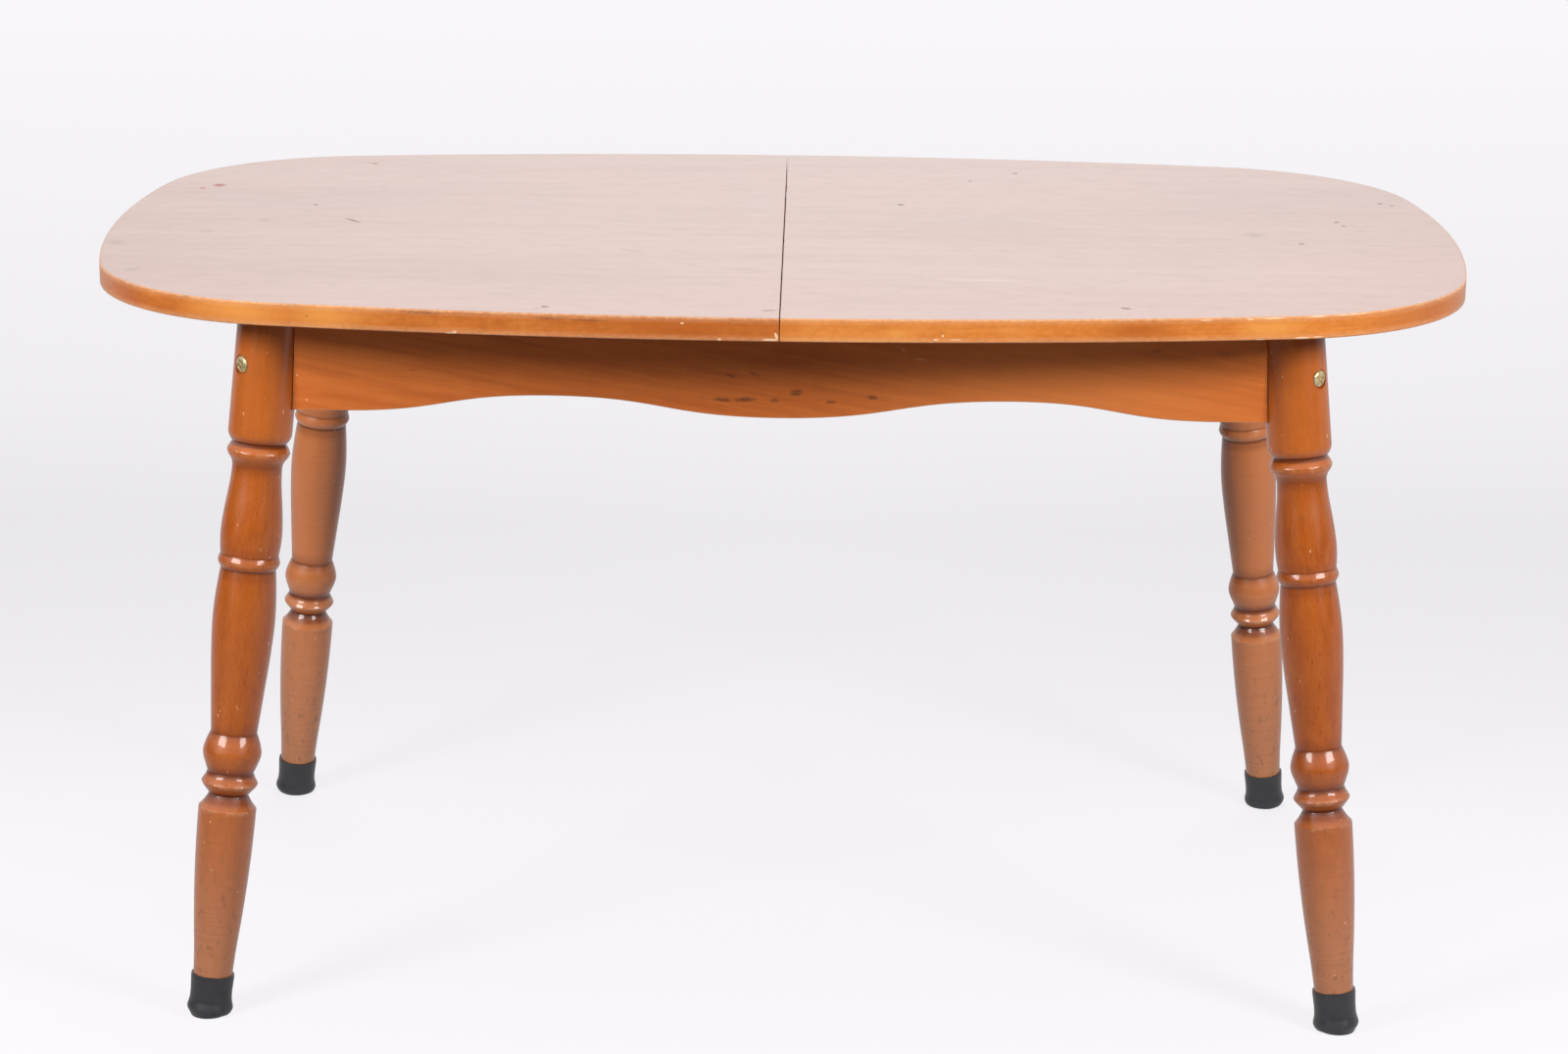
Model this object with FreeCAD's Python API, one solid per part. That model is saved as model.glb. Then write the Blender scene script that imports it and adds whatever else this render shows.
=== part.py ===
import FreeCAD, Part
import math
import os

# Extending dining table with turned, splayed legs.
# X runs along the table, Y across it, Z up; the origin is on the floor under the middle.
# The legs and aprons are one fixed frame. The two halves of the top slide outwards on
# dovetailed wooden runners, and one loose leaf is stored in the frame under the top.
# Lengths are in millimetres.

Vector = FreeCAD.Vector
UP = Vector(0, 0, 1)

# Overall sizes of the closed table
table_length = 1380.0
table_width = 850.0
table_height = 740.0
board_thickness = 22.5

# Outline of the top: long sides, ends and corners are arcs that meet smoothly
side_arc_radius = 3041.0
end_arc_radius = 1176.0
corner_arc_radius = 226.0
lipping_thickness = 4.0
arris_radius = 1.8
seam_gap = 1.0
seam_chamfer = 0.8

# Legs: the axis leans outwards from the board to the floor
leg_end_room = 68.6
leg_inset_y = 155.5
leg_splay_x = 70.8
leg_splay_y = 64.5
leg_head_radius = 31.2
leg_stub_radius = 18.0
leg_shoulder_gap = 0.1
leg_overrun = 12.0

# Rubber caps on the feet
cap_height = 41.5
cap_radius = 22.8
cap_floor = 8.0
cap_overrun = 3.2

# Aprons
apron_thickness = 20.0
apron_depth = 104.7
apron_face_offset = 20.5
arch_rise = 17.6
arch_centre_drop = 1.9
arch_start_share = 0.861
arch_crest_share = 0.458

# Dovetailed runners, guide blocks and stops
slide_clearance = 0.5
runner_height = 30.0
runner_top_width = 13.0
runner_bottom_width = 18.0
runner_end_clearance = 42.0
runner_leg_clearance = 8.0
runner_screw_shares = (0.14, 0.5, 0.86)
runner_counterbore = 10.0
guide_length = 60.0
guide_wall = 9.0
stop_length = 16.0
stop_height = 10.0
stop_gap = 0.5

# Cross rails that carry the stored leaf
rail_width = 40.0
rail_height = 38.0
pad_size = 36.0
pad_thickness = 2.0
pad_place_share = 0.6
leaf_side_clearance = 7.0
leaf_lift = 6.0
leaf_headroom = 4.0

# Corner blocks and leg bolts
corner_block_height = 34.0
corner_block_clearance = 2.0
corner_block_reach = 70.0
corner_wing_end = 12.0
corner_wing_at_screw = 25.0
bolt_radius = 4.0
bolt_seat = 28.5
bolt_head_radius = 8.5
bolt_head_rim = 0.8
bolt_head_dome = 3.6
bolt_recess_width = 1.9
bolt_recess_length = 9.6
bolt_recess_depth = 1.6
bolt_counterbore_radius = 9.6
bolt_tail = 3.0
washer_radius = 9.0
washer_thickness = 1.5
nut_across_flats = 13.0
nut_thickness = 6.5

# Wood screws
screw_head_radius = 4.2
screw_shank_radius = 2.1
runner_screw_length = 35.0
guide_screw_length = 45.0
guide_counterbore = 30.0
guide_screw_spread = 36.0
corner_screw_length = 34.0
corner_counterbore = 2.0
rail_screw_length = 42.0
rail_counterbore = 8.0
stop_screw_length = 25.0
stop_counterbore = 1.0

# Dowels in the seam edges
dowel_radius = 4.0
dowel_length = 30.0
dowel_reach = 10.0
dowel_spacing = 280.0
socket_clearance = 0.3
socket_depth_room = 1.5

# Latches that hold the halves together
latch_y = 120.0
latch_pivot_inset = 35.0
latch_arm = 60.0
latch_lever_length = 75.0
latch_lever_width = 22.0
latch_lever_thickness = 3.0
latch_tab_radius = 6.0
latch_tab_height = 8.0
latch_clearance = 0.4
latch_plate_length = 46.0
latch_plate_width = 34.0
latch_plate_thickness = 1.5
keeper_plate_length = 30.0
pivot_radius = 3.0
stud_radius = 4.0
rivet_head_radius = 6.0
rivet_head_thickness = 2.0
latch_screw_head_radius = 3.0
latch_screw_shank_radius = 1.5
latch_screw_length = 13.0
latch_screw_edge = 5.0

# Fits
fit_gap = 0.05
wood_gap = 0.2
overrun = 5.0

# Turned shape of a leg, from the rubber cap up to the ring below the apron.
# Each run is a smooth curve through (share of the length above the cap, share of the head radius).
leg_run_shares = [
    # long taper above the foot
    [(0.0, 0.622), (0.0297, 0.66), (0.0886, 0.769), (0.1353, 0.84), (0.2059, 0.904), (0.2525, 0.917)],
    # cove under the shoulder
    [(0.2525, 0.917), (0.2589, 0.8), (0.2647, 0.715), (0.2732, 0.615)],
    # pointed bead
    [(0.2732, 0.615), (0.2817, 0.77), (0.2876, 0.868), (0.2907, 0.893)],
    [(0.2907, 0.893), (0.295, 0.845), (0.2992, 0.79), (0.3069, 0.734)],
    # small bulb
    [(0.3069, 0.734), (0.3173, 0.821), (0.3289, 0.907), (0.3364, 0.926), (0.3464, 0.885),
     (0.3581, 0.798), (0.3655, 0.731)],
    # long swelling
    [(0.3655, 0.731), (0.3873, 0.772), (0.4345, 0.856), (0.4812, 0.936), (0.5401, 0.984),
     (0.5862, 0.923), (0.609, 0.866)],
    # ring under the vase
    [(0.609, 0.866), (0.6133, 0.926), (0.6191, 0.974), (0.6244, 0.95), (0.6292, 0.913)],
    # vase
    [(0.6292, 0.913), (0.6435, 0.95), (0.6584, 0.965), (0.6806, 0.942), (0.704, 0.888),
     (0.7374, 0.801), (0.757, 0.779)],
    # flare and upper ring
    [(0.757, 0.779), (0.7629, 0.795), (0.7687, 0.846), (0.774, 0.93), (0.7809, 0.987)],
    [(0.7809, 0.987), (0.7862, 0.942), (0.7936, 0.84)],
    # round shoulder of the plain head
    [(0.7936, 0.84), (0.7979, 0.913), (0.8037, 0.978), (0.8096, 1.0)],
]

# Outside of a rubber cap: (share of the cap's height, share of its largest radius)
cap_foot_shares = [(0.035, 0.89), (0.1, 0.965), (0.175, 1.0)]
cap_wall_shares = [(0.175, 1.0), (0.255, 0.968), (0.34, 0.93), (0.5, 0.91), (0.75, 0.925), (0.93, 0.945)]
cap_sole_share = 0.8
cap_rim_share = 0.93

# Heights that follow from the sizes above
board_underside = table_height - board_thickness
frame_top = board_underside - slide_clearance
runner_bottom = board_underside - runner_height
lever_top = board_underside - latch_plate_thickness - latch_clearance
lever_bottom = lever_top - latch_lever_thickness
leaf_top = lever_bottom - latch_tab_height - leaf_lift - leaf_headroom
leaf_bottom = leaf_top - board_thickness
rail_top = leaf_bottom - pad_thickness
rail_bottom = rail_top - rail_height
slot_floor = runner_bottom - slide_clearance
corner_block_top = runner_bottom - stop_height - corner_block_clearance
corner_block_bottom = corner_block_top - corner_block_height
bolt_height = (corner_block_top + corner_block_bottom) / 2

# Places across the table
half_length = table_length / 2
half_width = table_width / 2
half_seam = seam_gap / 2
leg_top_y = half_width - leg_inset_y
apron_outer_y = leg_top_y + apron_face_offset
apron_inner_y = apron_outer_y - apron_thickness
outer_runner_y = apron_inner_y - guide_wall - runner_bottom_width / 2
inner_runner_y = outer_runner_y - guide_wall - runner_bottom_width
guide_inner_y = inner_runner_y - guide_wall - runner_bottom_width / 2
leaf_half_width = guide_inner_y - leaf_side_clearance
slide_travel = leaf_half_width

# Places along the table: the frame is long enough to store the leaf lengthwise
leg_top_x = half_width + leg_end_room
apron_outer_x = leg_top_x + apron_face_offset
apron_inner_x = apron_outer_x - apron_thickness
runner_far = leg_top_x - leg_head_radius - runner_end_clearance
runner_near = leg_top_x - leg_head_radius - runner_leg_clearance - slide_travel
guide_x = runner_far - stop_length - stop_gap - slide_travel - guide_length / 2

# Legs' axes
leg_lean = Vector(leg_splay_x, leg_splay_y, board_underside)
leg_length = leg_lean.Length
leg_shoulder = cap_height + leg_shoulder_gap

SIDES = (("left", -1), ("right", 1))
ROWS = (("front", -1), ("back", 1))


# Helpers for solids

def box_between(x_range, y_range, z_range):
    low = Vector(min(x_range), min(y_range), min(z_range))
    high = Vector(max(x_range), max(y_range), max(z_range))
    size = high - low
    return Part.makeBox(size.x, size.y, size.z, low)


def placed(shape, point, direction):
    """The shape with its own Z axis turned to a direction and its origin at a point."""
    moved = shape.copy()
    moved.Placement = FreeCAD.Placement(point, FreeCAD.Rotation(UP, direction))
    return moved


def turned(edges):
    """Solid of revolution about Z from edges in the XZ plane that form a closed outline."""
    face = Part.Face(Part.Wire(edges))
    return face.revolve(Vector(0, 0, 0), UP, 360)


def profile_point(radius, height):
    return Vector(radius, 0, height)


def smooth_edge(points):
    curve = Part.BSplineCurve()
    curve.interpolate(points)
    return curve.toShape()


def chain(points):
    """Straight edges from point to point."""
    return [Part.makeLine(first, second) for first, second in zip(points, points[1:])]


def prism(points, direction):
    wire = Part.makePolygon(points + points[:1])
    return Part.Face(wire).extrude(direction)


def rod(radius, start, end, axis_point, direction):
    """Cylinder between two distances along a line."""
    base = axis_point + direction * start
    return Part.makeCylinder(radius, end - start, base, direction)


def save(name, shapes):
    """Write one node from a list of shapes, each solid on its own."""
    solids = []
    for shape in shapes:
        solids.extend(shape.Solids)
    node = solids[0] if len(solids) == 1 else Part.makeCompound(solids)
    node.exportStep(os.path.join("parts", name + ".step"))


# Wood screws: the head's flat face is at the origin and the point is along +Z

def screw(length, head_radius, shank_radius, grow):
    head_height = head_radius - shank_radius
    point_start = length - head_radius
    outline = [
        profile_point(0, 0),
        profile_point(head_radius + grow, 0),
        profile_point(shank_radius + grow, head_height + grow),
        profile_point(shank_radius + grow, point_start),
        profile_point(0, length + grow),
    ]
    return turned(chain(outline + outline[:1]))


def screw_group(spots, length, head_radius, shank_radius, grow):
    """One screw for each (point, direction)."""
    pattern = screw(length, head_radius, shank_radius, grow)
    return [placed(pattern, point, direction) for point, direction in spots]


def counterbores(spots, depth):
    """Holes from the surface down to the screws' heads."""
    radius = screw_head_radius + wood_gap
    return [rod(radius, -depth - overrun, 0, point, direction) for point, direction in spots]


# Top outline

def top_face(inset):
    """Face of the whole top's outline, moved inwards by the inset."""
    side_centre = Vector(0, half_width - side_arc_radius, 0)
    end_centre = Vector(half_length - end_arc_radius, 0, 0)
    to_side = side_arc_radius - corner_arc_radius
    to_end = end_arc_radius - corner_arc_radius
    between = end_centre - side_centre
    along = (to_side ** 2 - to_end ** 2 + between.Length ** 2) / (2 * between.Length)
    across = math.sqrt(to_side ** 2 - along ** 2)
    unit = Vector(between).normalize()
    corner_centre = side_centre + unit * along + Vector(unit.y, -unit.x, 0) * across
    side_unit = (corner_centre - side_centre).normalize()
    end_unit = (corner_centre - end_centre).normalize()
    middle_unit = (side_unit + end_unit).normalize()
    radius = corner_arc_radius - inset
    side_end = corner_centre + side_unit * radius
    end_end = corner_centre + end_unit * radius
    corner_middle = corner_centre + middle_unit * radius
    side_middle = Vector(0, half_width - inset, 0)
    end_middle = Vector(half_length - inset, 0, 0)

    def mirrored(point, sx, sy):
        return Vector(sx * point.x, sy * point.y, 0)

    edges = []
    for sx, sy in ((1, 1), (-1, 1), (-1, -1), (1, -1)):
        corner = [mirrored(point, sx, sy) for point in (end_end, corner_middle, side_end)]
        edges.append(Part.Arc(*corner).toShape())
    for sy in (1, -1):
        side = [mirrored(side_end, 1, sy), mirrored(side_middle, 1, sy), mirrored(side_end, -1, sy)]
        edges.append(Part.Arc(*side).toShape())
    for sx in (1, -1):
        end = [mirrored(end_end, sx, 1), mirrored(end_middle, sx, 1), mirrored(end_end, sx, -1)]
        edges.append(Part.Arc(*end).toShape())
    outline = Part.Wire(Part.__sortEdges__(edges))
    return Part.Face(outline)


def board(face):
    """The outline as a board at the top's height."""
    return face.translated(Vector(0, 0, board_underside)).extrude(Vector(0, 0, board_thickness))


def half_room(sx):
    """Everything on one side of the seam."""
    along = (sx * half_seam, sx * table_length)
    return box_between(along, (-table_width, table_width), (0, 2 * table_height))


def seam_bevel(sx):
    """Wedge that breaks the upper arris at the seam."""
    edge_x = sx * half_seam
    points = [
        Vector(edge_x - sx * overrun, -table_width, table_height + overrun + seam_chamfer),
        Vector(edge_x - sx * overrun, -table_width, table_height - seam_chamfer - overrun),
        Vector(edge_x + sx * (seam_chamfer + overrun), -table_width, table_height + overrun),
    ]
    return prism(points, Vector(0, 2 * table_width, 0))


# Dowels along X for the halves, along Y for the stored leaf

def dowel(point, direction):
    return rod(dowel_radius, dowel_reach - dowel_length, dowel_reach, point, direction)


def dowel_hole(point, direction):
    return rod(dowel_radius + fit_gap, dowel_reach - dowel_length - fit_gap, overrun, point, direction)


def dowel_socket(point, direction):
    """Socket that takes the free end of a dowel, bored along the direction."""
    depth = dowel_reach + socket_depth_room
    return rod(dowel_radius + socket_clearance, -overrun, depth, point, direction)


DOWEL_PLACES = (-dowel_spacing, 0, dowel_spacing)
board_middle = board_underside + board_thickness / 2


# Runners

def dovetail(x_range, centre_y, bottom, clearance):
    """Prism along X that is wider at the bottom, so that it can't lift out of its slot."""
    low = runner_bottom_width / 2 + clearance
    high = runner_top_width / 2 + clearance
    start = min(x_range)
    corners = [
        (centre_y - low, bottom),
        (centre_y + low, bottom),
        (centre_y + high, board_underside),
        (centre_y - high, board_underside),
    ]
    points = [Vector(start, y, z) for y, z in corners]
    return prism(points, Vector(max(x_range) - start, 0, 0))


def runner_y(sx):
    """The left half's runners are the outer pair, the right half's the inner pair."""
    return outer_runner_y if sx < 0 else inner_runner_y


def runner_screw_spots(sx, sy):
    """Screws driven up through the runner into its own half of the top."""
    spots = []
    for share in runner_screw_shares:
        point = Vector(sx * runner_near * share, sy * runner_y(sx), runner_bottom + runner_counterbore)
        spots.append((point, UP))
    return spots


def stop_screw_spots(sx, sy):
    x = -sx * (runner_far - stop_length / 2)
    point = Vector(x, sy * runner_y(sx), runner_bottom - stop_height + stop_counterbore)
    return [(point, UP)]


def runner(sx, sy):
    y = sy * runner_y(sx)
    body = dovetail((sx * runner_near, -sx * runner_far), y, runner_bottom, 0)
    relief = box_between(
        (0, -sx * (runner_far + overrun)),
        (y - runner_bottom_width, y + runner_bottom_width),
        (frame_top, board_underside + overrun))
    spots = runner_screw_spots(sx, sy)
    cutters = [relief] + counterbores(spots, runner_counterbore)
    cutters += screw_group(spots, runner_screw_length, screw_head_radius, screw_shank_radius, fit_gap)
    cutters += screw_group(
        stop_screw_spots(sx, sy), stop_screw_length, screw_head_radius, screw_shank_radius, fit_gap)
    return body.cut(cutters)


def stop_block(sx, sy):
    """Block under the runner's far end that meets the guide block when the half is out."""
    y = sy * runner_y(sx)
    body = box_between(
        (-sx * runner_far, -sx * (runner_far - stop_length)),
        (y - runner_bottom_width / 2, y + runner_bottom_width / 2),
        (runner_bottom - stop_height, runner_bottom))
    spots = stop_screw_spots(sx, sy)
    cutters = counterbores(spots, stop_counterbore)
    cutters += screw_group(spots, stop_screw_length, screw_head_radius, screw_shank_radius, fit_gap)
    return body.cut(cutters)


# Guide blocks and cross rails

def guide_screw_spots(sx, sy):
    """Screws through the guide block into the long apron."""
    height = (rail_top + slot_floor) / 2
    y = sy * (guide_inner_y + guide_counterbore)
    spots = []
    for spread in (-guide_screw_spread / 2, guide_screw_spread / 2):
        spots.append((Vector(sx * guide_x + spread, y, height), Vector(0, sy, 0)))
    return spots


def rail_screw_spots(sx, sy):
    """Screw up through the end of the cross rail into the guide block."""
    y = sy * (outer_runner_y + inner_runner_y) / 2
    return [(Vector(sx * guide_x, y, rail_bottom + rail_counterbore), UP)]


def guide_block(sx, sy):
    x_range = (sx * guide_x - guide_length / 2, sx * guide_x + guide_length / 2)
    slot_range = (x_range[0] - overrun, x_range[1] + overrun)
    body = box_between(x_range, (sy * guide_inner_y, sy * apron_inner_y), (rail_top, frame_top))
    cutters = []
    for y in (outer_runner_y, inner_runner_y):
        cutters.append(dovetail(slot_range, sy * y, slot_floor, slide_clearance))
    into_apron = guide_screw_spots(sx, sy)
    cutters += counterbores(into_apron, guide_counterbore)
    cutters += screw_group(into_apron, guide_screw_length, screw_head_radius, screw_shank_radius, fit_gap)
    cutters += screw_group(
        rail_screw_spots(sx, sy), rail_screw_length, screw_head_radius, screw_shank_radius, fit_gap)
    return body.cut(cutters)


def cross_rail(sx):
    x = sx * guide_x
    body = box_between(
        (x - rail_width / 2, x + rail_width / 2), (-apron_inner_y, apron_inner_y), (rail_bottom, rail_top))
    cutters = []
    for name, sy in ROWS:
        spots = rail_screw_spots(sx, sy)
        cutters += counterbores(spots, rail_counterbore)
        cutters += screw_group(spots, rail_screw_length, screw_head_radius, screw_shank_radius, fit_gap)
    return body.cut(cutters)


def leaf_pad(sx, sy):
    """Felt pad on a cross rail, under the stored leaf."""
    x = sx * guide_x
    y = sy * leaf_half_width * pad_place_share
    return box_between(
        (x - pad_size / 2, x + pad_size / 2), (y - pad_size / 2, y + pad_size / 2), (rail_top, leaf_bottom))


# Legs

def leg_axis_point(sx, sy, z):
    drop_share = (board_underside - z) / board_underside
    x = leg_top_x + leg_splay_x * drop_share
    y = leg_top_y + leg_splay_y * drop_share
    return Vector(sx * x, sy * y, z)


def on_leg(shape, sx, sy):
    """A shape whose Z axis is the leg's axis, with the floor at its origin."""
    foot = leg_axis_point(sx, sy, 0)
    top = leg_axis_point(sx, sy, board_underside)
    return placed(shape, foot, top - foot)


def bolt_line(sx, sy):
    """Point on the leg's axis and outward diagonal direction of the leg bolt."""
    return leg_axis_point(sx, sy, bolt_height), Vector(sx, sy, 0).normalize()


def turning_point(height_share, radius_share):
    """Point of the turned shape, which reaches from the shoulder on the cap to the leg's top."""
    height = leg_shoulder + height_share * (leg_length - leg_shoulder)
    return profile_point(radius_share * leg_head_radius, height)


def leg_blank():
    """The turned leg about its own axis, before it is cut level at the top."""
    edges = [smooth_edge([turning_point(*shares) for shares in run]) for run in leg_run_shares]
    top = leg_length + leg_overrun
    edges += chain([
        turning_point(*leg_run_shares[-1][-1]),
        profile_point(leg_head_radius, top),
        profile_point(0, top),
        profile_point(0, cap_floor + wood_gap),
        profile_point(leg_stub_radius, cap_floor + wood_gap),
        profile_point(leg_stub_radius, leg_shoulder),
        turning_point(*leg_run_shares[0][0]),
    ])
    return turned(Part.__sortEdges__(edges))


def leg(sx, sy, blank):
    above = box_between(
        (sx * (leg_top_x - 2 * leg_head_radius), sx * (leg_top_x + 2 * leg_head_radius)),
        (sy * (leg_top_y - 2 * leg_head_radius), sy * (leg_top_y + 2 * leg_head_radius)),
        (frame_top, board_underside + 2 * leg_overrun))
    centre, outward = bolt_line(sx, sy)
    bore = rod(bolt_radius + fit_gap, -leg_head_radius - overrun, bolt_seat + overrun, centre, outward)
    counterbore = rod(bolt_counterbore_radius, bolt_seat, bolt_seat + 2 * overrun, centre, outward)
    return on_leg(blank, sx, sy).cut([above, bore, counterbore])


def leg_envelope(sx, sy):
    """The leg's round head with a hair of room, for what is shaped round it."""
    foot = leg_axis_point(sx, sy, 0)
    top = leg_axis_point(sx, sy, board_underside)
    return rod(leg_head_radius + wood_gap, 0, leg_length + leg_overrun, foot, (top - foot).normalize())


def cap_blank():
    """Rubber cap about the leg's axis, before its sole is cut level."""
    foot = [profile_point(radius * cap_radius, height * cap_height) for height, radius in cap_foot_shares]
    wall = [profile_point(radius * cap_radius, height * cap_height) for height, radius in cap_wall_shares]
    sole_radius = cap_sole_share * cap_radius
    bore_radius = leg_stub_radius + fit_gap
    edges = chain([
        profile_point(0, cap_floor),
        profile_point(0, -cap_overrun),
        profile_point(sole_radius, -cap_overrun),
        foot[0],
    ])
    edges.append(smooth_edge(foot))
    edges.append(smooth_edge(wall))
    edges += chain([
        wall[-1],
        profile_point(cap_rim_share * cap_radius, cap_height),
        profile_point(bore_radius, cap_height),
        profile_point(bore_radius, cap_floor),
        profile_point(0, cap_floor),
    ])
    return turned(Part.__sortEdges__(edges))


def foot_cap(sx, sy, blank):
    foot = leg_axis_point(sx, sy, 0)
    below = box_between(
        (foot.x - 2 * cap_radius, foot.x + 2 * cap_radius),
        (foot.y - 2 * cap_radius, foot.y + 2 * cap_radius),
        (-cap_radius, 0))
    return on_leg(blank, sx, sy).cut(below)


# Leg bolts along their own Z axis, with the leg's axis at the origin

def bolt_blank():
    head_top = bolt_seat + bolt_head_dome
    rim_top = bolt_seat + bolt_head_rim
    tail = -corner_block_reach - washer_thickness - nut_thickness - bolt_tail
    middle_height = rim_top + (head_top - rim_top) / math.sqrt(2)
    dome_middle = profile_point(bolt_head_radius / math.sqrt(2), middle_height)
    edges = chain([
        profile_point(0, head_top),
        profile_point(0, tail),
        profile_point(bolt_radius, tail),
        profile_point(bolt_radius, bolt_seat),
        profile_point(bolt_head_radius, bolt_seat),
        profile_point(bolt_head_radius, rim_top),
    ])
    dome = Part.Arc(profile_point(bolt_head_radius, rim_top), dome_middle, profile_point(0, head_top))
    edges.append(dome.toShape())
    bolt = turned(edges)
    half = bolt_recess_width / 2
    reach = bolt_recess_length / 2
    depth = (head_top - bolt_recess_depth, head_top + overrun)
    one_way = box_between((-reach, reach), (-half, half), depth)
    other_way = box_between((-half, half), (-reach, reach), depth)
    return bolt.cut([one_way, other_way])


def washer_blank():
    far_face = -corner_block_reach - washer_thickness
    ring = rod(washer_radius, far_face, -corner_block_reach, Vector(0, 0, 0), UP)
    bore = rod(bolt_radius + fit_gap, -corner_block_reach - overrun, 0, Vector(0, 0, 0), UP)
    return ring.cut(bore)


def nut_blank():
    corner_radius = nut_across_flats / math.sqrt(3)
    base = -corner_block_reach - washer_thickness - nut_thickness
    points = []
    for turn in range(6):
        angle = math.radians(60 * turn)
        points.append(Vector(corner_radius * math.cos(angle), corner_radius * math.sin(angle), base))
    body = prism(points, Vector(0, 0, nut_thickness))
    return body.cut(rod(bolt_radius + fit_gap, base - overrun, 0, Vector(0, 0, 0), UP))


def on_bolt_line(blank):
    """The blank at each of the four legs."""
    return [placed(blank, *bolt_line(sx, sy)) for side, sx in SIDES for row, sy in ROWS]


# Corner blocks between the aprons

bolt_centre = leg_axis_point(1, 1, bolt_height)
corner_sum = bolt_centre.x + bolt_centre.y - math.sqrt(2) * corner_block_reach


def corner_screw_spots(sx, sy):
    """One screw into the long apron and one into the short apron."""
    face = corner_wing_at_screw - corner_counterbore
    x = corner_sum - apron_inner_y + corner_wing_at_screw
    y = corner_sum - apron_inner_x + corner_wing_at_screw
    into_long = (Vector(sx * x, sy * (apron_inner_y - face), bolt_height), Vector(0, sy, 0))
    into_short = (Vector(sx * (apron_inner_x - face), sy * y, bolt_height), Vector(sx, 0, 0))
    return [into_long, into_short]


def corner_block(sx, sy):
    long_end = corner_sum - apron_inner_y + corner_wing_end
    short_end = corner_sum - apron_inner_x + corner_wing_end
    outline = [
        (long_end, apron_inner_y),
        (apron_inner_x, apron_inner_y),
        (apron_inner_x, short_end),
        (apron_inner_x - corner_wing_end, short_end),
        (long_end, apron_inner_y - corner_wing_end),
    ]
    points = [Vector(sx * x, sy * y, corner_block_bottom) for x, y in outline]
    body = prism(points, Vector(0, 0, corner_block_height))
    centre, outward = bolt_line(sx, sy)
    cutters = [leg_envelope(sx, sy)]
    cutters.append(rod(bolt_radius + fit_gap, -corner_block_reach - overrun, 0, centre, outward))
    spots = corner_screw_spots(sx, sy)
    cutters += counterbores(spots, corner_counterbore)
    cutters += screw_group(spots, corner_screw_length, screw_head_radius, screw_shank_radius, fit_gap)
    return body.cut(cutters)


# Aprons

def easing(start, end):
    """S-shaped edge in the XZ plane, level at both ends."""
    middle = (start.x + end.x) / 2
    curve = Part.BezierCurve()
    curve.setPoles([start, Vector(middle, 0, start.z), Vector(middle, 0, end.z), end])
    return curve.toShape()


def apron_board(half_span):
    """Apron along X with its inner face on the XZ plane and its wavy lower edge."""
    lower = frame_top - apron_depth
    start = half_span * arch_start_share
    crest = half_span * arch_crest_share
    centre = Vector(0, 0, lower - arch_centre_drop)
    edges = chain([
        Vector(-start, 0, lower),
        Vector(-half_span, 0, lower),
        Vector(-half_span, 0, frame_top),
        Vector(half_span, 0, frame_top),
        Vector(half_span, 0, lower),
        Vector(start, 0, lower),
    ])
    for side in (1, -1):
        top = Vector(side * crest, 0, lower + arch_rise)
        edges.append(easing(Vector(side * start, 0, lower), top))
        edges.append(easing(top, centre))
    face = Part.Face(Part.Wire(Part.__sortEdges__(edges)))
    return face.extrude(Vector(0, apron_thickness, 0))


def all_spots(spots):
    """The screws of one kind at all four corners."""
    return [spot for side, sx in SIDES for row, sy in ROWS for spot in spots(sx, sy)]


def apron(half_span, distance, quarter_turns):
    """Apron at a distance from the middle, turned about Z in quarter turns."""
    body = apron_board(half_span)
    body.translate(Vector(0, distance, 0))
    body.rotate(Vector(0, 0, 0), UP, 90 * quarter_turns)
    cutters = [leg_envelope(sx, sy) for side, sx in SIDES for row, sy in ROWS]
    cutters += screw_group(
        all_spots(guide_screw_spots), guide_screw_length, screw_head_radius, screw_shank_radius, fit_gap)
    cutters += screw_group(
        all_spots(corner_screw_spots), corner_screw_length, screw_head_radius, screw_shank_radius, fit_gap)
    return body.cut(cutters)


# Latches under the seam

def plate_screw_spots(x_middle, y, plate_length):
    """Two countersunk screws at opposite corners of a small plate."""
    reach_x = plate_length / 2 - latch_screw_edge
    reach_y = latch_plate_width / 2 - latch_screw_edge
    z = board_underside - latch_plate_thickness
    return [(Vector(x_middle + way * reach_x, y + way * reach_y, z), UP) for way in (-1, 1)]


def small_plate(x_middle, y, plate_length, rivet_x, rivet_radius):
    body = box_between(
        (x_middle - plate_length / 2, x_middle + plate_length / 2),
        (y - latch_plate_width / 2, y + latch_plate_width / 2),
        (board_underside - latch_plate_thickness, board_underside))
    spots = plate_screw_spots(x_middle, y, plate_length)
    cutters = screw_group(
        spots, latch_screw_length, latch_screw_head_radius, latch_screw_shank_radius, fit_gap)
    cutters.append(rod(rivet_radius + fit_gap, 0, table_height, Vector(rivet_x, y, 0), UP))
    return body.cut(cutters)


def rivet(x, y, radius):
    """Headed pin that hangs from a plate."""
    head_top = lever_bottom - latch_clearance
    head = rod(rivet_head_radius, head_top - rivet_head_thickness, head_top, Vector(x, y, 0), UP)
    shank = rod(radius, head_top, board_underside, Vector(x, y, 0), UP)
    return head.fuse(shank).removeSplitter()


pivot_x = -latch_pivot_inset
stud_x = pivot_x + latch_arm
latch_plate_x = pivot_x
keeper_plate_x = stud_x


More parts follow.
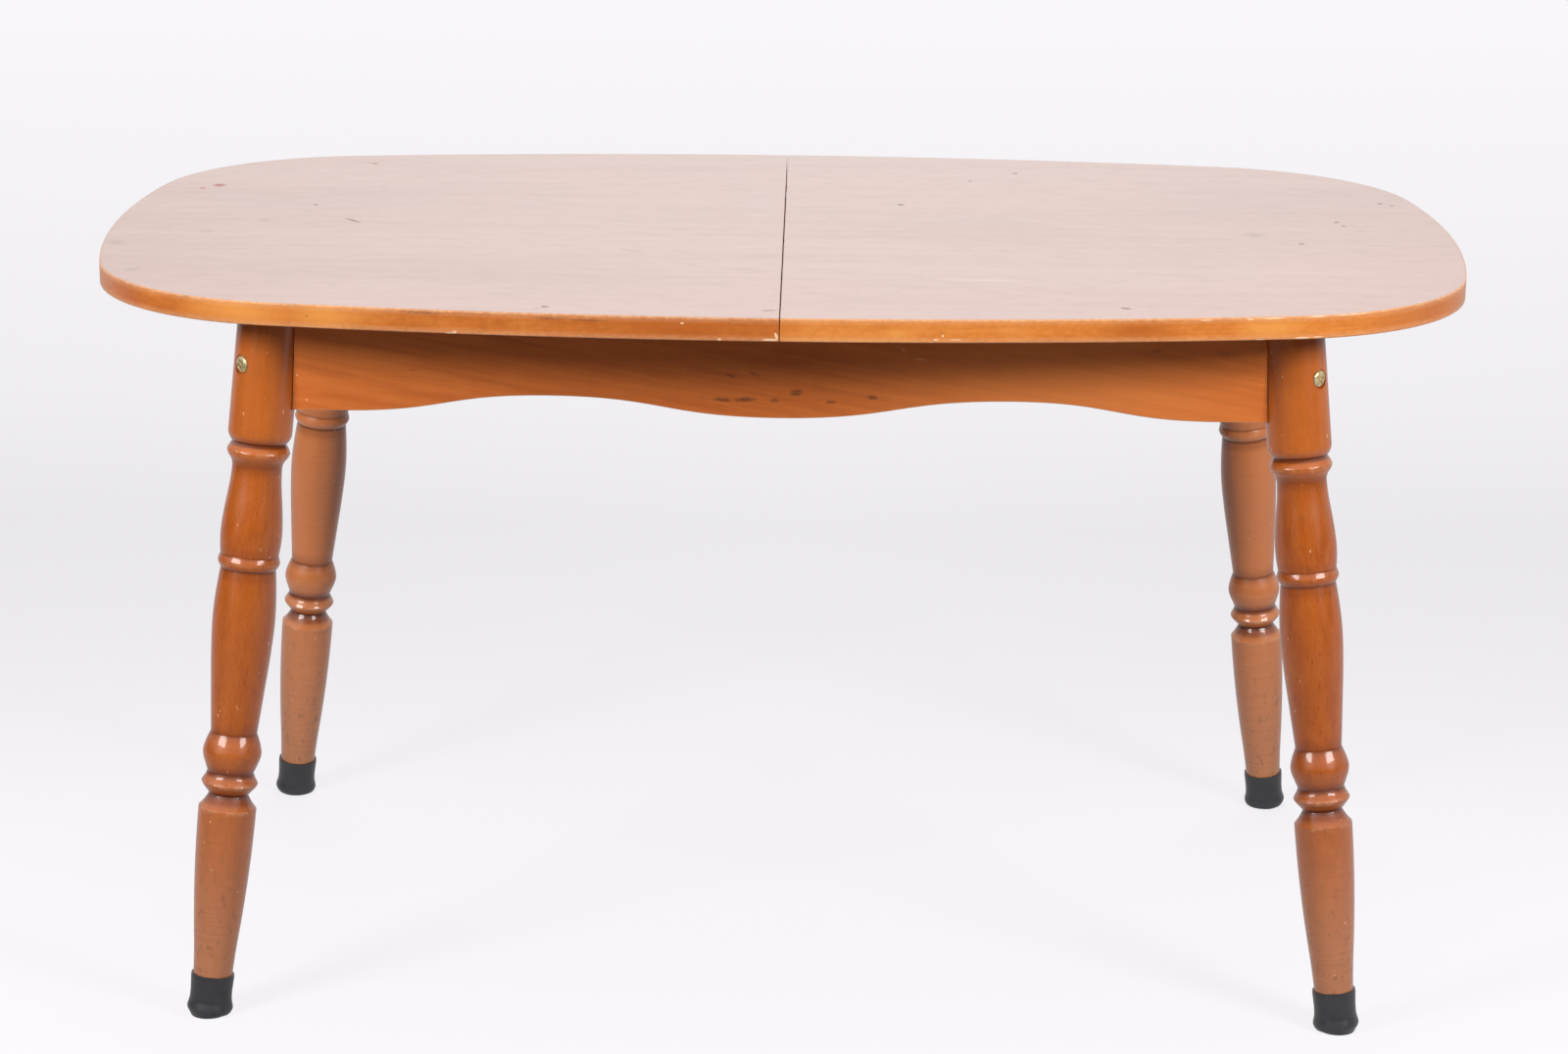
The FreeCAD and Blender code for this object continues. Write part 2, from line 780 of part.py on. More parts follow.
def latch_lever(sy):
    """Flat hook with a finger tab; it is drawn locked and then turned back to its rest."""
    half = latch_lever_width / 2
    thickness = (lever_bottom, lever_top)
    here = Vector(0, 0, 0)
    arm = box_between((0, latch_lever_length), (-half, half), thickness)
    hub = rod(half, lever_bottom, lever_top, here, UP)
    end = rod(half, lever_bottom, lever_top, Vector(latch_lever_length, 0, 0), UP)
    tab = rod(latch_tab_radius, lever_bottom - latch_tab_height, lever_bottom,
              Vector(latch_lever_length, 0, 0), UP)
    body = arm.fuse([hub, end, tab]).removeSplitter()
    slot_half = stud_radius + latch_clearance
    slot = rod(latch_arm + slot_half, lever_bottom - overrun, board_underside, here, UP)
    slot = slot.cut(rod(latch_arm - slot_half, lever_bottom - overrun, board_underside, here, UP))
    leading = box_between((0, 2 * latch_arm), (0, sy * 2 * half), (lever_bottom - overrun, board_underside))
    slot_end = rod(slot_half, lever_bottom - overrun, board_underside, Vector(latch_arm, 0, 0), UP)
    pivot_hole = rod(pivot_radius + latch_clearance / 2, 0, table_height, here, UP)
    body = body.cut([slot.common(leading), slot_end, pivot_hole])
    body.rotate(here, UP, -90 * sy)
    body.translate(Vector(pivot_x, sy * latch_y, 0))
    return body


# Halves of the top

def half_cutters(sx):
    """Screw holes and dowel holes in one half."""
    spots = [spot for row, sy in ROWS for spot in runner_screw_spots(sx, sy)]
    cutters = screw_group(spots, runner_screw_length, screw_head_radius, screw_shank_radius, fit_gap)
    plate = (latch_plate_x, latch_plate_length) if sx < 0 else (keeper_plate_x, keeper_plate_length)
    small = [spot for row, sy in ROWS for spot in plate_screw_spots(plate[0], sy * latch_y, plate[1])]
    cutters += screw_group(
        small, latch_screw_length, latch_screw_head_radius, latch_screw_shank_radius, fit_gap)
    for y in DOWEL_PLACES:
        point = Vector(sx * half_seam, y, board_middle)
        if sx < 0:
            cutters.append(dowel_hole(point, Vector(1, 0, 0)))
        else:
            cutters.append(dowel_socket(point, Vector(1, 0, 0)))
    return cutters


def save_half(side, sx, panel, lipping):
    room = half_room(sx)
    cutters = [seam_bevel(sx)] + half_cutters(sx)
    save("top_panel_" + side, [panel.common(room).cut(cutters)])
    save("edge_lipping_" + side, [lipping.common(room).cut(seam_bevel(sx))])
    runner_spots = []
    stop_spots = []
    for row, sy in ROWS:
        save("runner_" + row + "_" + side, [runner(sx, sy)])
        runner_spots += runner_screw_spots(sx, sy)
        stop_spots += stop_screw_spots(sx, sy)
    save("stop_blocks_" + side, [stop_block(sx, sy) for row, sy in ROWS])
    save("runner_screws_" + side,
         screw_group(runner_spots, runner_screw_length, screw_head_radius, screw_shank_radius, 0))
    save("stop_screws_" + side,
         screw_group(stop_spots, stop_screw_length, screw_head_radius, screw_shank_radius, 0))


def save_top():
    panel = board(top_face(lipping_thickness))
    rounded = board(top_face(0))
    level = [edge for edge in rounded.Edges if edge.Vertexes[0].Z == edge.Vertexes[-1].Z]
    lipping = rounded.makeFillet(arris_radius, level).cut(panel)
    for side, sx in SIDES:
        save_half(side, sx, panel, lipping)
    dowels = [dowel(Vector(-half_seam, y, board_middle), Vector(1, 0, 0)) for y in DOWEL_PLACES]
    save("seam_dowels", dowels)


def save_latches():
    latch_spots = []
    keeper_spots = []
    for row, sy in ROWS:
        y = sy * latch_y
        latch_plate = small_plate(latch_plate_x, y, latch_plate_length, pivot_x, pivot_radius)
        keeper_plate = small_plate(keeper_plate_x, y, keeper_plate_length, stud_x, stud_radius)
        save("latch_plate_" + row, [latch_plate])
        save("keeper_plate_" + row, [keeper_plate])
        save("latch_lever_" + row, [latch_lever(sy)])
        latch_spots += plate_screw_spots(latch_plate_x, y, latch_plate_length)
        keeper_spots += plate_screw_spots(keeper_plate_x, y, keeper_plate_length)
    save("latch_pivots", [rivet(pivot_x, sy * latch_y, pivot_radius) for row, sy in ROWS])
    save("keeper_studs", [rivet(stud_x, sy * latch_y, stud_radius) for row, sy in ROWS])
    for name, spots in (("latch_screws", latch_spots), ("keeper_screws", keeper_spots)):
        save(name, screw_group(spots, latch_screw_length, latch_screw_head_radius, latch_screw_shank_radius, 0))


# Stored leaf: as long as the table is wide, and stored lengthwise under the top

def save_leaf():
    height = (leaf_bottom, leaf_top)
    across = (-leaf_half_width, leaf_half_width)
    panel_end = half_width - lipping_thickness
    middle = (leaf_bottom + leaf_top) / 2
    cutters = []
    dowels = []
    for x in DOWEL_PLACES:
        back_edge = Vector(x, leaf_half_width, middle)
        front_edge = Vector(x, -leaf_half_width, middle)
        cutters.append(dowel_hole(back_edge, Vector(0, 1, 0)))
        cutters.append(dowel_socket(front_edge, Vector(0, 1, 0)))
        dowels.append(dowel(back_edge, Vector(0, 1, 0)))
    save("leaf_panel", [box_between((-panel_end, panel_end), across, height).cut(cutters)])
    save("leaf_dowels", dowels)
    for side, sx in SIDES:
        strip = box_between((sx * panel_end, sx * half_width), across, height)
        long_edges = [edge for edge in strip.Edges if edge.Length > lipping_thickness
                      and abs(edge.CenterOfMass.x - sx * half_width) < fit_gap
                      and edge.Vertexes[0].Z == edge.Vertexes[-1].Z]
        save("leaf_lipping_" + side, [strip.makeFillet(arris_radius, long_edges)])


# Fixed frame

def save_frame():
    leg_pattern = leg_blank()
    cap_pattern = cap_blank()
    for side, sx in SIDES:
        for row, sy in ROWS:
            corner = row + "_" + side
            save("leg_" + corner, [leg(sx, sy, leg_pattern)])
            save("foot_cap_" + corner, [foot_cap(sx, sy, cap_pattern)])
            save("corner_block_" + corner, [corner_block(sx, sy)])
            save("guide_block_" + corner, [guide_block(sx, sy)])
        save("cross_rail_" + side, [cross_rail(sx)])
    save("apron_back", [apron(leg_top_x, apron_inner_y, 0)])
    save("apron_left", [apron(leg_top_y, apron_inner_x, 1)])
    save("apron_front", [apron(leg_top_x, apron_inner_y, 2)])
    save("apron_right", [apron(leg_top_y, apron_inner_x, 3)])
    save("leaf_pads", [leaf_pad(sx, sy) for side, sx in SIDES for row, sy in ROWS])
    save("leg_bolts", on_bolt_line(bolt_blank()))
    save("leg_washers", on_bolt_line(washer_blank()))
    save("leg_nuts", on_bolt_line(nut_blank()))
    groups = (
        ("corner_screws", corner_screw_spots, corner_screw_length),
        ("guide_screws", guide_screw_spots, guide_screw_length),
        ("rail_screws", rail_screw_spots, rail_screw_length),
    )
    for name, spots, length in groups:
        save(name, screw_group(all_spots(spots), length, screw_head_radius, screw_shank_radius, 0))


os.makedirs("parts", exist_ok=True)
save_frame()
save_top()
save_latches()
save_leaf()
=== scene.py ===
import math

import bmesh
import bpy
from mathutils import Matrix, Vector


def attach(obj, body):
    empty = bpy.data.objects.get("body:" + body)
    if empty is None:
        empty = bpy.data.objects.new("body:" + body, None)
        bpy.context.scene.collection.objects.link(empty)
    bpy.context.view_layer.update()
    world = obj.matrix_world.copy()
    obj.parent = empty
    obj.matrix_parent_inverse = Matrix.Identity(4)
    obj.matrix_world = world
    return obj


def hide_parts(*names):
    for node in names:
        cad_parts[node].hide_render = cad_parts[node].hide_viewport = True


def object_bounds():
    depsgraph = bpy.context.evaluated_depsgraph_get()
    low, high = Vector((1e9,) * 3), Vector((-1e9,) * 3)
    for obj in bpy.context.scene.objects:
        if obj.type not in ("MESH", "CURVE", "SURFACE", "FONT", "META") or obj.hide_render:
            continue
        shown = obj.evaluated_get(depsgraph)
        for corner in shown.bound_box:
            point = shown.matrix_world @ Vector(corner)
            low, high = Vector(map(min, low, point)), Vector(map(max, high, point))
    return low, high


# Extending dining table: looks of every visible surface, around the fixed frame.
# Blender units are metres; X runs along the table, Y across it, Z up.

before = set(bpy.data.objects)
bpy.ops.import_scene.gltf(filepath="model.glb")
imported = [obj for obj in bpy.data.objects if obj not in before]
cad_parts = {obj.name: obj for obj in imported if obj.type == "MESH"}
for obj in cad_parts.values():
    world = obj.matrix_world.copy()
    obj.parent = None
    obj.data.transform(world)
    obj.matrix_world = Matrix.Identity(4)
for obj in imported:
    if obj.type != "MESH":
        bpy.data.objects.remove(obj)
cad_low, cad_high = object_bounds()

mm = 0.001

SIDES = (("left", -1), ("right", 1))
ROWS = (("front", -1), ("back", 1))

# Overall sizes, from the frame
half_length = cad_high.x
half_width = cad_high.y
table_height = cad_high.z

# Board and its outline: long sides, ends and corners are arcs that meet smoothly
board_thickness = 22.5 * mm
board_underside = table_height - board_thickness
side_arc_radius = 3041 * mm
end_arc_radius = 1176 * mm
corner_arc_radius = 226 * mm
lipping_thickness = 4 * mm
arris_radius = 1.8 * mm
half_seam = 0.5 * mm
seam_chamfer = 0.8 * mm
outline_step = 7 * mm
arris_steps = 6
# Share of wear and painted highlight at the arris rims
arris_rim_wear_and_highlight = 0.5
lipping_face_shares = (0.25, 0.5, 0.75)
right_grain_shift = 1.0
grime_depth = 5 * mm

# Sockets for the dowels in the right half's seam face
dowel_spacing = 280 * mm
socket_radius = 4.3 * mm
socket_depth = 11.5 * mm
socket_segments = 32

# Frame
slide_clearance = 0.5 * mm
frame_top = board_underside - slide_clearance
leg_top_x = half_width + 68.6 * mm
leg_top_y = half_width - 155.5 * mm
leg_splay_x = 70.8 * mm
leg_splay_y = 64.5 * mm
leg_head_radius = 31.2 * mm
leg_stub_radius = 18 * mm
leg_shoulder_gap = 0.1 * mm
leg_segments = 112
profile_steps = 5
head_step = 12 * mm
groove_reach = 4 * mm
groove_depth = 1.9 * mm
cove_reach = 13 * mm
cove_depth = 4.5 * mm

# Rubber caps on the feet
cap_height = 41.5 * mm
cap_radius = 22.8 * mm
cap_floor = 8 * mm
cap_overrun = 3.2 * mm
cap_segments = 96

# Aprons
apron_thickness = 20 * mm
apron_depth = 104.7 * mm
apron_face_offset = 20.5 * mm
apron_arris = 1.3 * mm
apron_arris_steps = 3
apron_rim_wear_and_highlight = 0.4
least_mitre = 0.5
apron_end_gap = 0.5 * mm
arch_rise = 17.6 * mm
arch_centre_drop = 1.9 * mm
arch_start_share = 0.861
arch_crest_share = 0.458
easing_steps = 22
end_steps = 8

# Leg bolts, with a crossed recess and finer nicks between its arms; turns are in degrees
bolt_height = 658.5 * mm
bolt_seat = 28.5 * mm
bolt_radius = 4 * mm
bolt_tail = 81 * mm
bolt_head_radius = 8.5 * mm
bolt_head_rim = 0.8 * mm
bolt_head_dome = 3.6 * mm
bolt_flat_radius = 0.25 * mm
bolt_counterbore_radius = 9.6 * mm
bolt_segments = 64
dome_steps = 10
recess_width = 1.9 * mm
recess_length = 9.6 * mm
recess_depth = 1.5 * mm
recess_turn = 20
nick_turn = 45
nick_width = 0.7 * mm
nick_length = 5.6 * mm
nick_depth = 0.7 * mm
cut_overrun = 5 * mm

# Angles in degrees above which an edge stays sharp
sharp_angle = 32
cap_sharp_angle = 40
bolt_sharp_angle = 45
apron_sharp_angle = 50

# Upward parts of a face's direction that tell the faces of the boards apart
facing_up = 0.99
facing_down = -0.9
facing_out = 0.3

# Turned shape of a leg, from the rubber cap up to the ring below the apron.
# Each run is a smooth curve on from the last one's end, through (share of the length above the cap,
# share of the head radius).
leg_foot_share = (0.0, 0.622)
leg_run_shares = [
    # long taper above the foot
    [(0.0297, 0.66), (0.0886, 0.769), (0.1353, 0.84), (0.2059, 0.904), (0.2525, 0.917)],
    # cove under the shoulder
    [(0.2589, 0.8), (0.2647, 0.715), (0.2732, 0.615)],
    # pointed bead
    [(0.2817, 0.77), (0.2876, 0.868), (0.2907, 0.893)],
    [(0.295, 0.845), (0.2992, 0.79), (0.3069, 0.734)],
    # small bulb
    [(0.3173, 0.821), (0.3289, 0.907), (0.3364, 0.926), (0.3464, 0.885), (0.3581, 0.798), (0.3655, 0.731)],
    # long swelling
    [(0.3873, 0.772), (0.4345, 0.856), (0.4812, 0.936), (0.5401, 0.984), (0.5862, 0.923), (0.609, 0.866)],
    # ring under the vase
    [(0.6133, 0.926), (0.6191, 0.974), (0.6244, 0.95), (0.6292, 0.913)],
    # vase
    [(0.6435, 0.95), (0.6584, 0.965), (0.6806, 0.942), (0.704, 0.888), (0.7374, 0.801), (0.757, 0.779)],
    # flare and upper ring
    [(0.7629, 0.795), (0.7687, 0.846), (0.774, 0.93), (0.7809, 0.987)],
    [(0.7862, 0.942), (0.7936, 0.84)],
    # round shoulder of the plain head
    [(0.7979, 0.913), (0.8037, 0.978), (0.8096, 1.0)],
]

# Outside of a rubber cap: (share of the cap's height, share of its largest radius)
cap_foot_shares = [(0.035, 0.89), (0.1, 0.965), (0.175, 1.0)]
cap_wall_shares = [(0.175, 1.0), (0.255, 0.968), (0.34, 0.93), (0.5, 0.91), (0.75, 0.925), (0.93, 0.945)]
cap_sole_share = 0.8
cap_rim_share = 0.93


# Camera at the photograph's place

photo_width = 1600
photo_height = 1076
camera_place = Vector((30.5, -4003.0, 1541.7)) * mm
camera_yaw = -0.00672
camera_pitch = 0.27326
camera_roll = 0.01191
camera_lens = 90.504
sensor_width = 36


def camera_matrix():
    turn = Matrix.Rotation(-camera_yaw, 4, "Z")
    tilt = Matrix.Rotation(math.pi / 2 - camera_pitch, 4, "X")
    roll = Matrix.Rotation(camera_roll, 4, "Z")
    return Matrix.Translation(camera_place) @ turn @ tilt @ roll


def add_camera():
    data = bpy.data.cameras.new("photo_camera")
    data.lens = camera_lens
    data.sensor_width = sensor_width
    data.sensor_fit = "HORIZONTAL"
    camera = new_object("photo_camera", data)
    camera.matrix_world = camera_matrix()
    bpy.context.scene.camera = camera


def seen_on_plane(pixel, axis, level):
    """Point where the line of sight through a pixel of the photograph meets a plane square to an axis."""
    focal = camera_lens / sensor_width * photo_width
    right = (pixel[0] - photo_width / 2) / focal
    up = (photo_height / 2 - pixel[1]) / focal
    ray = camera_matrix().to_3x3() @ Vector((right, up, -1))
    travel = (level - camera_place[axis]) / ray[axis]
    return camera_place + ray * travel


# Mesh helpers

def new_object(name, data):
    made = bpy.data.objects.new(name, data)
    bpy.context.scene.collection.objects.link(made)
    return made


def ring_of(count, radius, height):
    """Points round the Z axis."""
    angles = [math.tau * turn / count for turn in range(count)]
    return [Vector((radius * math.cos(angle), radius * math.sin(angle), height)) for angle in angles]


def loft(name, rings, materials, sharp_degrees=sharp_angle):
    """Closed, smooth-shaded surface through rings of equally many points, with a flat face at each end."""
    count = len(rings[0])
    points = [tuple(point) for ring in rings for point in ring]
    faces = []
    for low in range(0, len(points) - count, count):
        high = low + count
        for column in range(count):
            after = (column + 1) % count
            faces.append((low + column, low + after, high + after, high + column))
    faces.append(tuple(reversed(range(count))))
    faces.append(tuple(range(len(points) - count, len(points))))
    mesh = bpy.data.meshes.new(name)
    mesh.from_pydata(points, [], faces)
    work = bmesh.new()
    work.from_mesh(mesh)
    bmesh.ops.recalc_face_normals(work, faces=work.faces)
    work.to_mesh(mesh)
    work.free()
    mesh.shade_smooth()
    mesh.set_sharp_from_angle(angle=math.radians(sharp_degrees))
    for material in materials:
        mesh.materials.append(material)
    return new_object(name, mesh)


def lathe(name, profile, segments, material, sharp_degrees=sharp_angle):
    """Turned body about its own Z axis from (height, radius) pairs."""
    rings = [ring_of(segments, radius, height) for height, radius in profile]
    return loft(name, rings, (material,), sharp_degrees)


def bar(name, length, width, low, high, material):
    """Upright box about the Z axis, between two heights."""
    corners = ((-1, -1), (1, -1), (1, 1), (-1, 1))
    rings = [[Vector((x * length / 2, y * width / 2, z)) for x, y in corners] for z in (low, high)]
    return loft(name, rings, (material,))


def store_values(mesh, name, values):
    """One number for each point of the mesh."""
    stored = mesh.attributes.new(name, "FLOAT", "POINT")
    stored.data.foreach_set("value", values)


def cut(piece, cutters, sharp_degrees=sharp_angle):
    """Takes the cutters away from the piece for good."""
    for cutter in cutters:
        modifier = piece.modifiers.new("cut", "BOOLEAN")
        modifier.operation = "DIFFERENCE"
        modifier.solver = "EXACT"
        modifier.object = cutter
    bpy.context.view_layer.update()
    graph = bpy.context.evaluated_depsgraph_get()
    mesh = bpy.data.meshes.new_from_object(piece.evaluated_get(graph))
    piece.modifiers.clear()
    piece.data = mesh
    mesh.set_sharp_from_angle(angle=math.radians(sharp_degrees))
    for cutter in cutters:
        bpy.data.objects.remove(cutter)


def smooth_run(points):
    """Points on a smooth curve through (height, value) pairs."""
    pairs = list(zip(points, points[1:]))
    gaps = [after[0] - before[0] for before, after in pairs]
    spans = [(after[1] - before[1]) / gap for (before, after), gap in zip(pairs, gaps)]
    slopes = [spans[0] + (spans[0] - spans[1]) / 2]
    for i in range(len(gaps) - 1):
        slopes.append((spans[i] * gaps[i + 1] + spans[i + 1] * gaps[i]) / (gaps[i] + gaps[i + 1]))
    slopes.append(spans[-1] + (spans[-1] - spans[-2]) / 2)
    run = []
    for i, ((start, low), (end, high)) in enumerate(pairs):
        for step in range(profile_steps):
            t = step / profile_steps
            value = ((1 + 2 * t) * (1 - t) ** 2 * low + t * (1 - t) ** 2 * gaps[i] * slopes[i]
                     + t * t * (3 - 2 * t) * high + t * t * (t - 1) * gaps[i] * slopes[i + 1])
            run.append((start + t * gaps[i], value))
    return run + [points[-1]]


def ways_along(points):
    """Distance gone along a line at each of its points."""
    ways = [0.0]
    for before, after in zip(points, points[1:]):
        ways.append(ways[-1] + math.dist(before, after))
    return ways


def rounded_edge(radius, steps, thickness):
    """(inset, depth) pairs of a board's upper and lower arris."""
    upper = []
    for step in range(steps + 1):
        angle = math.pi / 2 * step / steps
        upper.append((radius * (1 - math.sin(angle)), radius * (1 - math.cos(angle))))
    return upper, [(inset, thickness - depth) for inset, depth in reversed(upper)]


def stand_in(piece, body, slot, *nodes):
    """The piece rides on its body and stands for its nodes."""
    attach(piece, body)
    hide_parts(*nodes)
    return piece


# Node trees

# Half size in metres of a spot that has no end along an axis
endless = 1000.0


class Nodes:
    """A node tree that is built up from small steps; values may be numbers, colours or sockets."""

    def __init__(self, tree):
        self.nodes = tree.nodes
        self.links = tree.links

    def put(self, socket, value):
        if isinstance(value, bpy.types.NodeSocket):
            self.links.new(value, socket)
        elif isinstance(value, tuple) and len(value) == 3 and socket.type == "RGBA":
            socket.default_value = (*value, 1)
        else:
            socket.default_value = value

    def add(self, kind, values=(), **settings):
        """A new node with its first inputs in order; None leaves one as it is."""
        node = self.nodes.new("ShaderNode" + kind)
        for name, value in settings.items():
            setattr(node, name, value)
        for place, value in enumerate(values):
            if value is not None:
                self.put(node.inputs[place], value)
        return node

    def fill(self, node, **values):
        """Inputs of a node by name, with underscores for spaces."""
        for name, value in values.items():
            self.put(node.inputs[name.replace("_", " ")], value)
        return node

    def math(self, operation, *values):
        return self.add("Math", values, operation=operation).outputs[0]

    def times(self, first, second):
        return self.math("MULTIPLY", first, second)

    def largest(self, *values):
        total = values[0]
        for value in values[1:]:
            total = self.math("MAXIMUM", total, value)
        return total

    def vector(self, operation, *values):
        node = self.add("VectorMath", values, operation=operation)
        return node.outputs["Value" if operation in ("LENGTH", "DOT_PRODUCT") else "Vector"]

    def part(self, vector, axis):
        return self.add("SeparateXYZ", (vector,)).outputs[axis]

    def spread(self, value, low, high, to_low=0.0, to_high=1.0):
        """The value's range from low to high, eased into another range."""
        node = self.add("MapRange", (value, low, high, to_low, to_high), interpolation_type="SMOOTHSTEP")
        return node.outputs[0]

    def ramp(self, value, low, high, to_low=0.0, to_high=1.0):
        """The value's range from low to high, evenly into another range."""
        return self.add("MapRange", (value, low, high, to_low, to_high)).outputs[0]


# What clouds, bands, fibres and pores of the grain add, and how far tones lie from the middle
cloud_share = 0.45
band_share = 0.35
fibre_share = 0.2
pore_share = 0.32
tone_shift = 0.1
tone_reach = 0.17

# Glossier surfaces lose their grain when the picture is cleaned of its noise
least_roughness = 0.29


def stretched(axis, along, across):
    """Scale for a texture that is long along one axis."""
    return tuple(along if name == axis else across for name in "XYZ")


def tinted(colour, factor):
    return tuple(channel * factor for channel in colour)


class Finish(Nodes):
    """A material whose colour is laid on step by step."""

    def __init__(self, name):
        self.material = bpy.data.materials.new(name)
        self.material.use_nodes = True
        super().__init__(self.material.node_tree)
        self.colour = None

    def mix(self, share, first, second, how="MIX"):
        node = self.add("Mix", data_type="RGBA", blend_type=how)
        for place, value in ((0, share), (6, first), (7, second)):
            self.put(node.inputs[place], value)
        return node.outputs[2]

    def origin(self):
        return self.add("ObjectInfo").outputs["Location"]

    def place(self, shift=0.0):
        """The object's own coordinates, shifted by where it stands, so that like pieces differ."""
        own = self.add("TexCoord").outputs["Object"]
        if not shift:
            return own
        return self.vector("ADD", own, self.vector("MULTIPLY", self.origin(), (shift, shift, shift)))

    def stored(self, name):
        return self.add("Attribute", attribute_name=name).outputs["Fac"]

    def noise(self, place, scale, detail=3.0, roughness=0.5, distortion=0.0):
        """Noise whose scale per metre is one number or one for each axis."""
        scales = scale if isinstance(scale, tuple) else (scale, scale, scale)
        node = self.fill(
            self.add("TexNoise"), Vector=self.vector("MULTIPLY", place, scales), Scale=1.0,
            Detail=detail, Roughness=roughness, Distortion=distortion)
        return node.outputs[0]

    def spot(self, place, centre, half_size, degrees, softness):
        """1 inside an ellipse about the centre, easing to 0 at its rim."""
        local = self.fill(
            self.add("Mapping", vector_type="TEXTURE"), Vector=place, Location=tuple(centre),
            Rotation=tuple(math.radians(angle) for angle in degrees), Scale=tuple(half_size))
        return self.spread(self.vector("LENGTH", local.outputs[0]), 1.0, 1.0 - softness)

    def uneven(self, field, low, high):
        """Roughness between two values, by a texture."""
        return self.spread(field, 0.3, 0.7, low, high)

    def cover(self, mask, tone):
        """Lays a colour on where the mask says."""
        self.colour = self.mix(mask, self.colour, tone)

    def lay(self, *layers, eased=False):
        """Lays colours on: (field, where it starts, where it is full, share there, colour)."""
        step = self.spread if eased else self.ramp
        for field, start, full, share, tone in layers:
            self.cover(step(field, start, full, 0.0, share), tone)

    def mark(self, place, surface, *layers):
        """Lays marks on: (marks, softness, share, colour). Gives their masks."""
        locate, axis, depth = surface
        masks = []
        for marks, softness, share, tone in layers:
            spots = []
            for across, down, length, width, degrees in marks:
                size = [length * mm, width * mm]
                size.insert(axis, depth)
                turn = [0, 0]
                turn.insert(axis, degrees)
                spots.append(self.spot(place, locate((across, down)), size, turn, softness))
            masks.append(self.times(self.largest(*spots), share))
            self.cover(masks[-1], tone)
        return masks

    def grain(self, place, axis, tones, contrast=1.0, density=1.0, fine=1.0):
        """Begins with wood between dark, middle and light tones. Gives its fibres."""
        def field(along, across, detail, roughness=0.5):
            scale = stretched(axis, along * density, across * density)
            return self.noise(place, scale, detail, roughness)

        clouds = field(1.6, 9.0, 1.0)
        bands = field(2.2, 55.0, 3.0)
        fibres = field(9.0, 620.0, 3.0, 0.6)
        pores = field(42.0, 1500.0, 2.0)
        total = self.math("MULTIPLY_ADD", clouds, cloud_share, self.times(bands, band_share))
        fine_lines = self.math("SUBTRACT", fibres, 0.5)
        total = self.math("MULTIPLY_ADD", fine_lines, fibre_share * fine, total)
        total = self.math("ADD", total, tone_shift)
        reach = tone_reach / contrast
        dark, middle, light = tones
        self.colour = self.mix(self.ramp(total, 0.5 - reach, 0.5), dark, middle)
        self.lay((total, 0.5, 0.5 + reach, 1.0, light))
        self.lay((pores, 0.63, 0.72, pore_share * contrast * fine, dark), eased=True)
        return fibres

    def done(self, roughness, relief, strength, depth, **others):
        """The finished material, with a relief of some strength and depth."""
        bump = self.fill(self.add("Bump"), Height=relief, Strength=strength, Distance=depth)
        self.fill(
            self.nodes["Principled BSDF"], Base_Color=self.colour, Roughness=roughness,
            Normal=bump.outputs[0], **others)
        return self.material


# Top veneer, board core and underside

# Veneer tones paled towards pink: the wood's colour with a painted reflection of the white backdrop laid in
veneer_tones_with_painted_reflection = ((0.56, 0.285, 0.21), (0.64, 0.36, 0.285), (0.7, 0.425, 0.35))
core_tones = ((0.38, 0.25, 0.14), (0.52, 0.37, 0.22), (0.62, 0.47, 0.3))
under_tones = ((0.28, 0.13, 0.055), (0.42, 0.22, 0.1), (0.5, 0.29, 0.15))
seam_dirt_colour = (0.02, 0.013, 0.01)
seam_dirt_turn = (table_height - 5 * mm, table_height - 1.5 * mm)

# Marks on the top: pixel (across, down), half length and half width in mm, turn in degrees
stain_marks = [(224, 189, 10, 12, 0), (207, 192, 5, 6, 0), (383, 167, 5, 6, 0)]
dark_marks = [(1149, 315, 6.5, 4, -20), (360, 225, 19, 2.2, -49), (785, 317, 11, 2.2, 12),
              (799, 315, 2, 1.5, 0), (556, 313, 5, 4, 0), (919, 209, 5, 4.5, -40), (1036, 177, 4, 4, 0),
              (990, 185, 3.5, 3.5, 0), (322, 209, 3.5, 3.5, 0), (1328, 249, 4, 4, 0), (1364, 227, 4, 4, 0),
              (1371, 231, 3, 3, 0), (1408, 208, 4, 4, 0), (1420, 210, 3, 3, 0)]
faint_marks = [(375, 166, 19, 7, 0), (391, 190, 5, 5, 0), (271, 225, 11, 10, 0), (118, 247, 14, 22, 0),
               (135, 275, 9, 16, -30), (450, 214, 20, 2.5, 0), (547, 315, 7, 6, 0), (437, 288, 3, 4, 0),
               (757, 275, 38, 6, -11), (705, 270, 20, 4, -34), (645, 256, 28, 7, -41),
               (780, 262, 20, 3, 0), (315, 216, 24, 3, -55), (840, 225, 3, 3, 0), (900, 253, 14, 3, 0),
               (995, 261, 3, 3, 0), (1217, 220, 5, 4, 0), (1280, 240, 18, 22, 0), (1388, 236, 8, 5, 0),
               (210, 236, 12, 12, 0)]
pale_marks = [(772, 219, 28, 4, 4), (765, 252, 36, 5, 0), (1000, 286, 60, 6, 0)]
stain_colour = (0.42, 0.07, 0.045)
mark_colour = (0.09, 0.03, 0.015)
pale_colour = (0.85, 0.7, 0.6)


def seen_on_top(pixel):
    return seen_on_plane(pixel, 2, table_height)


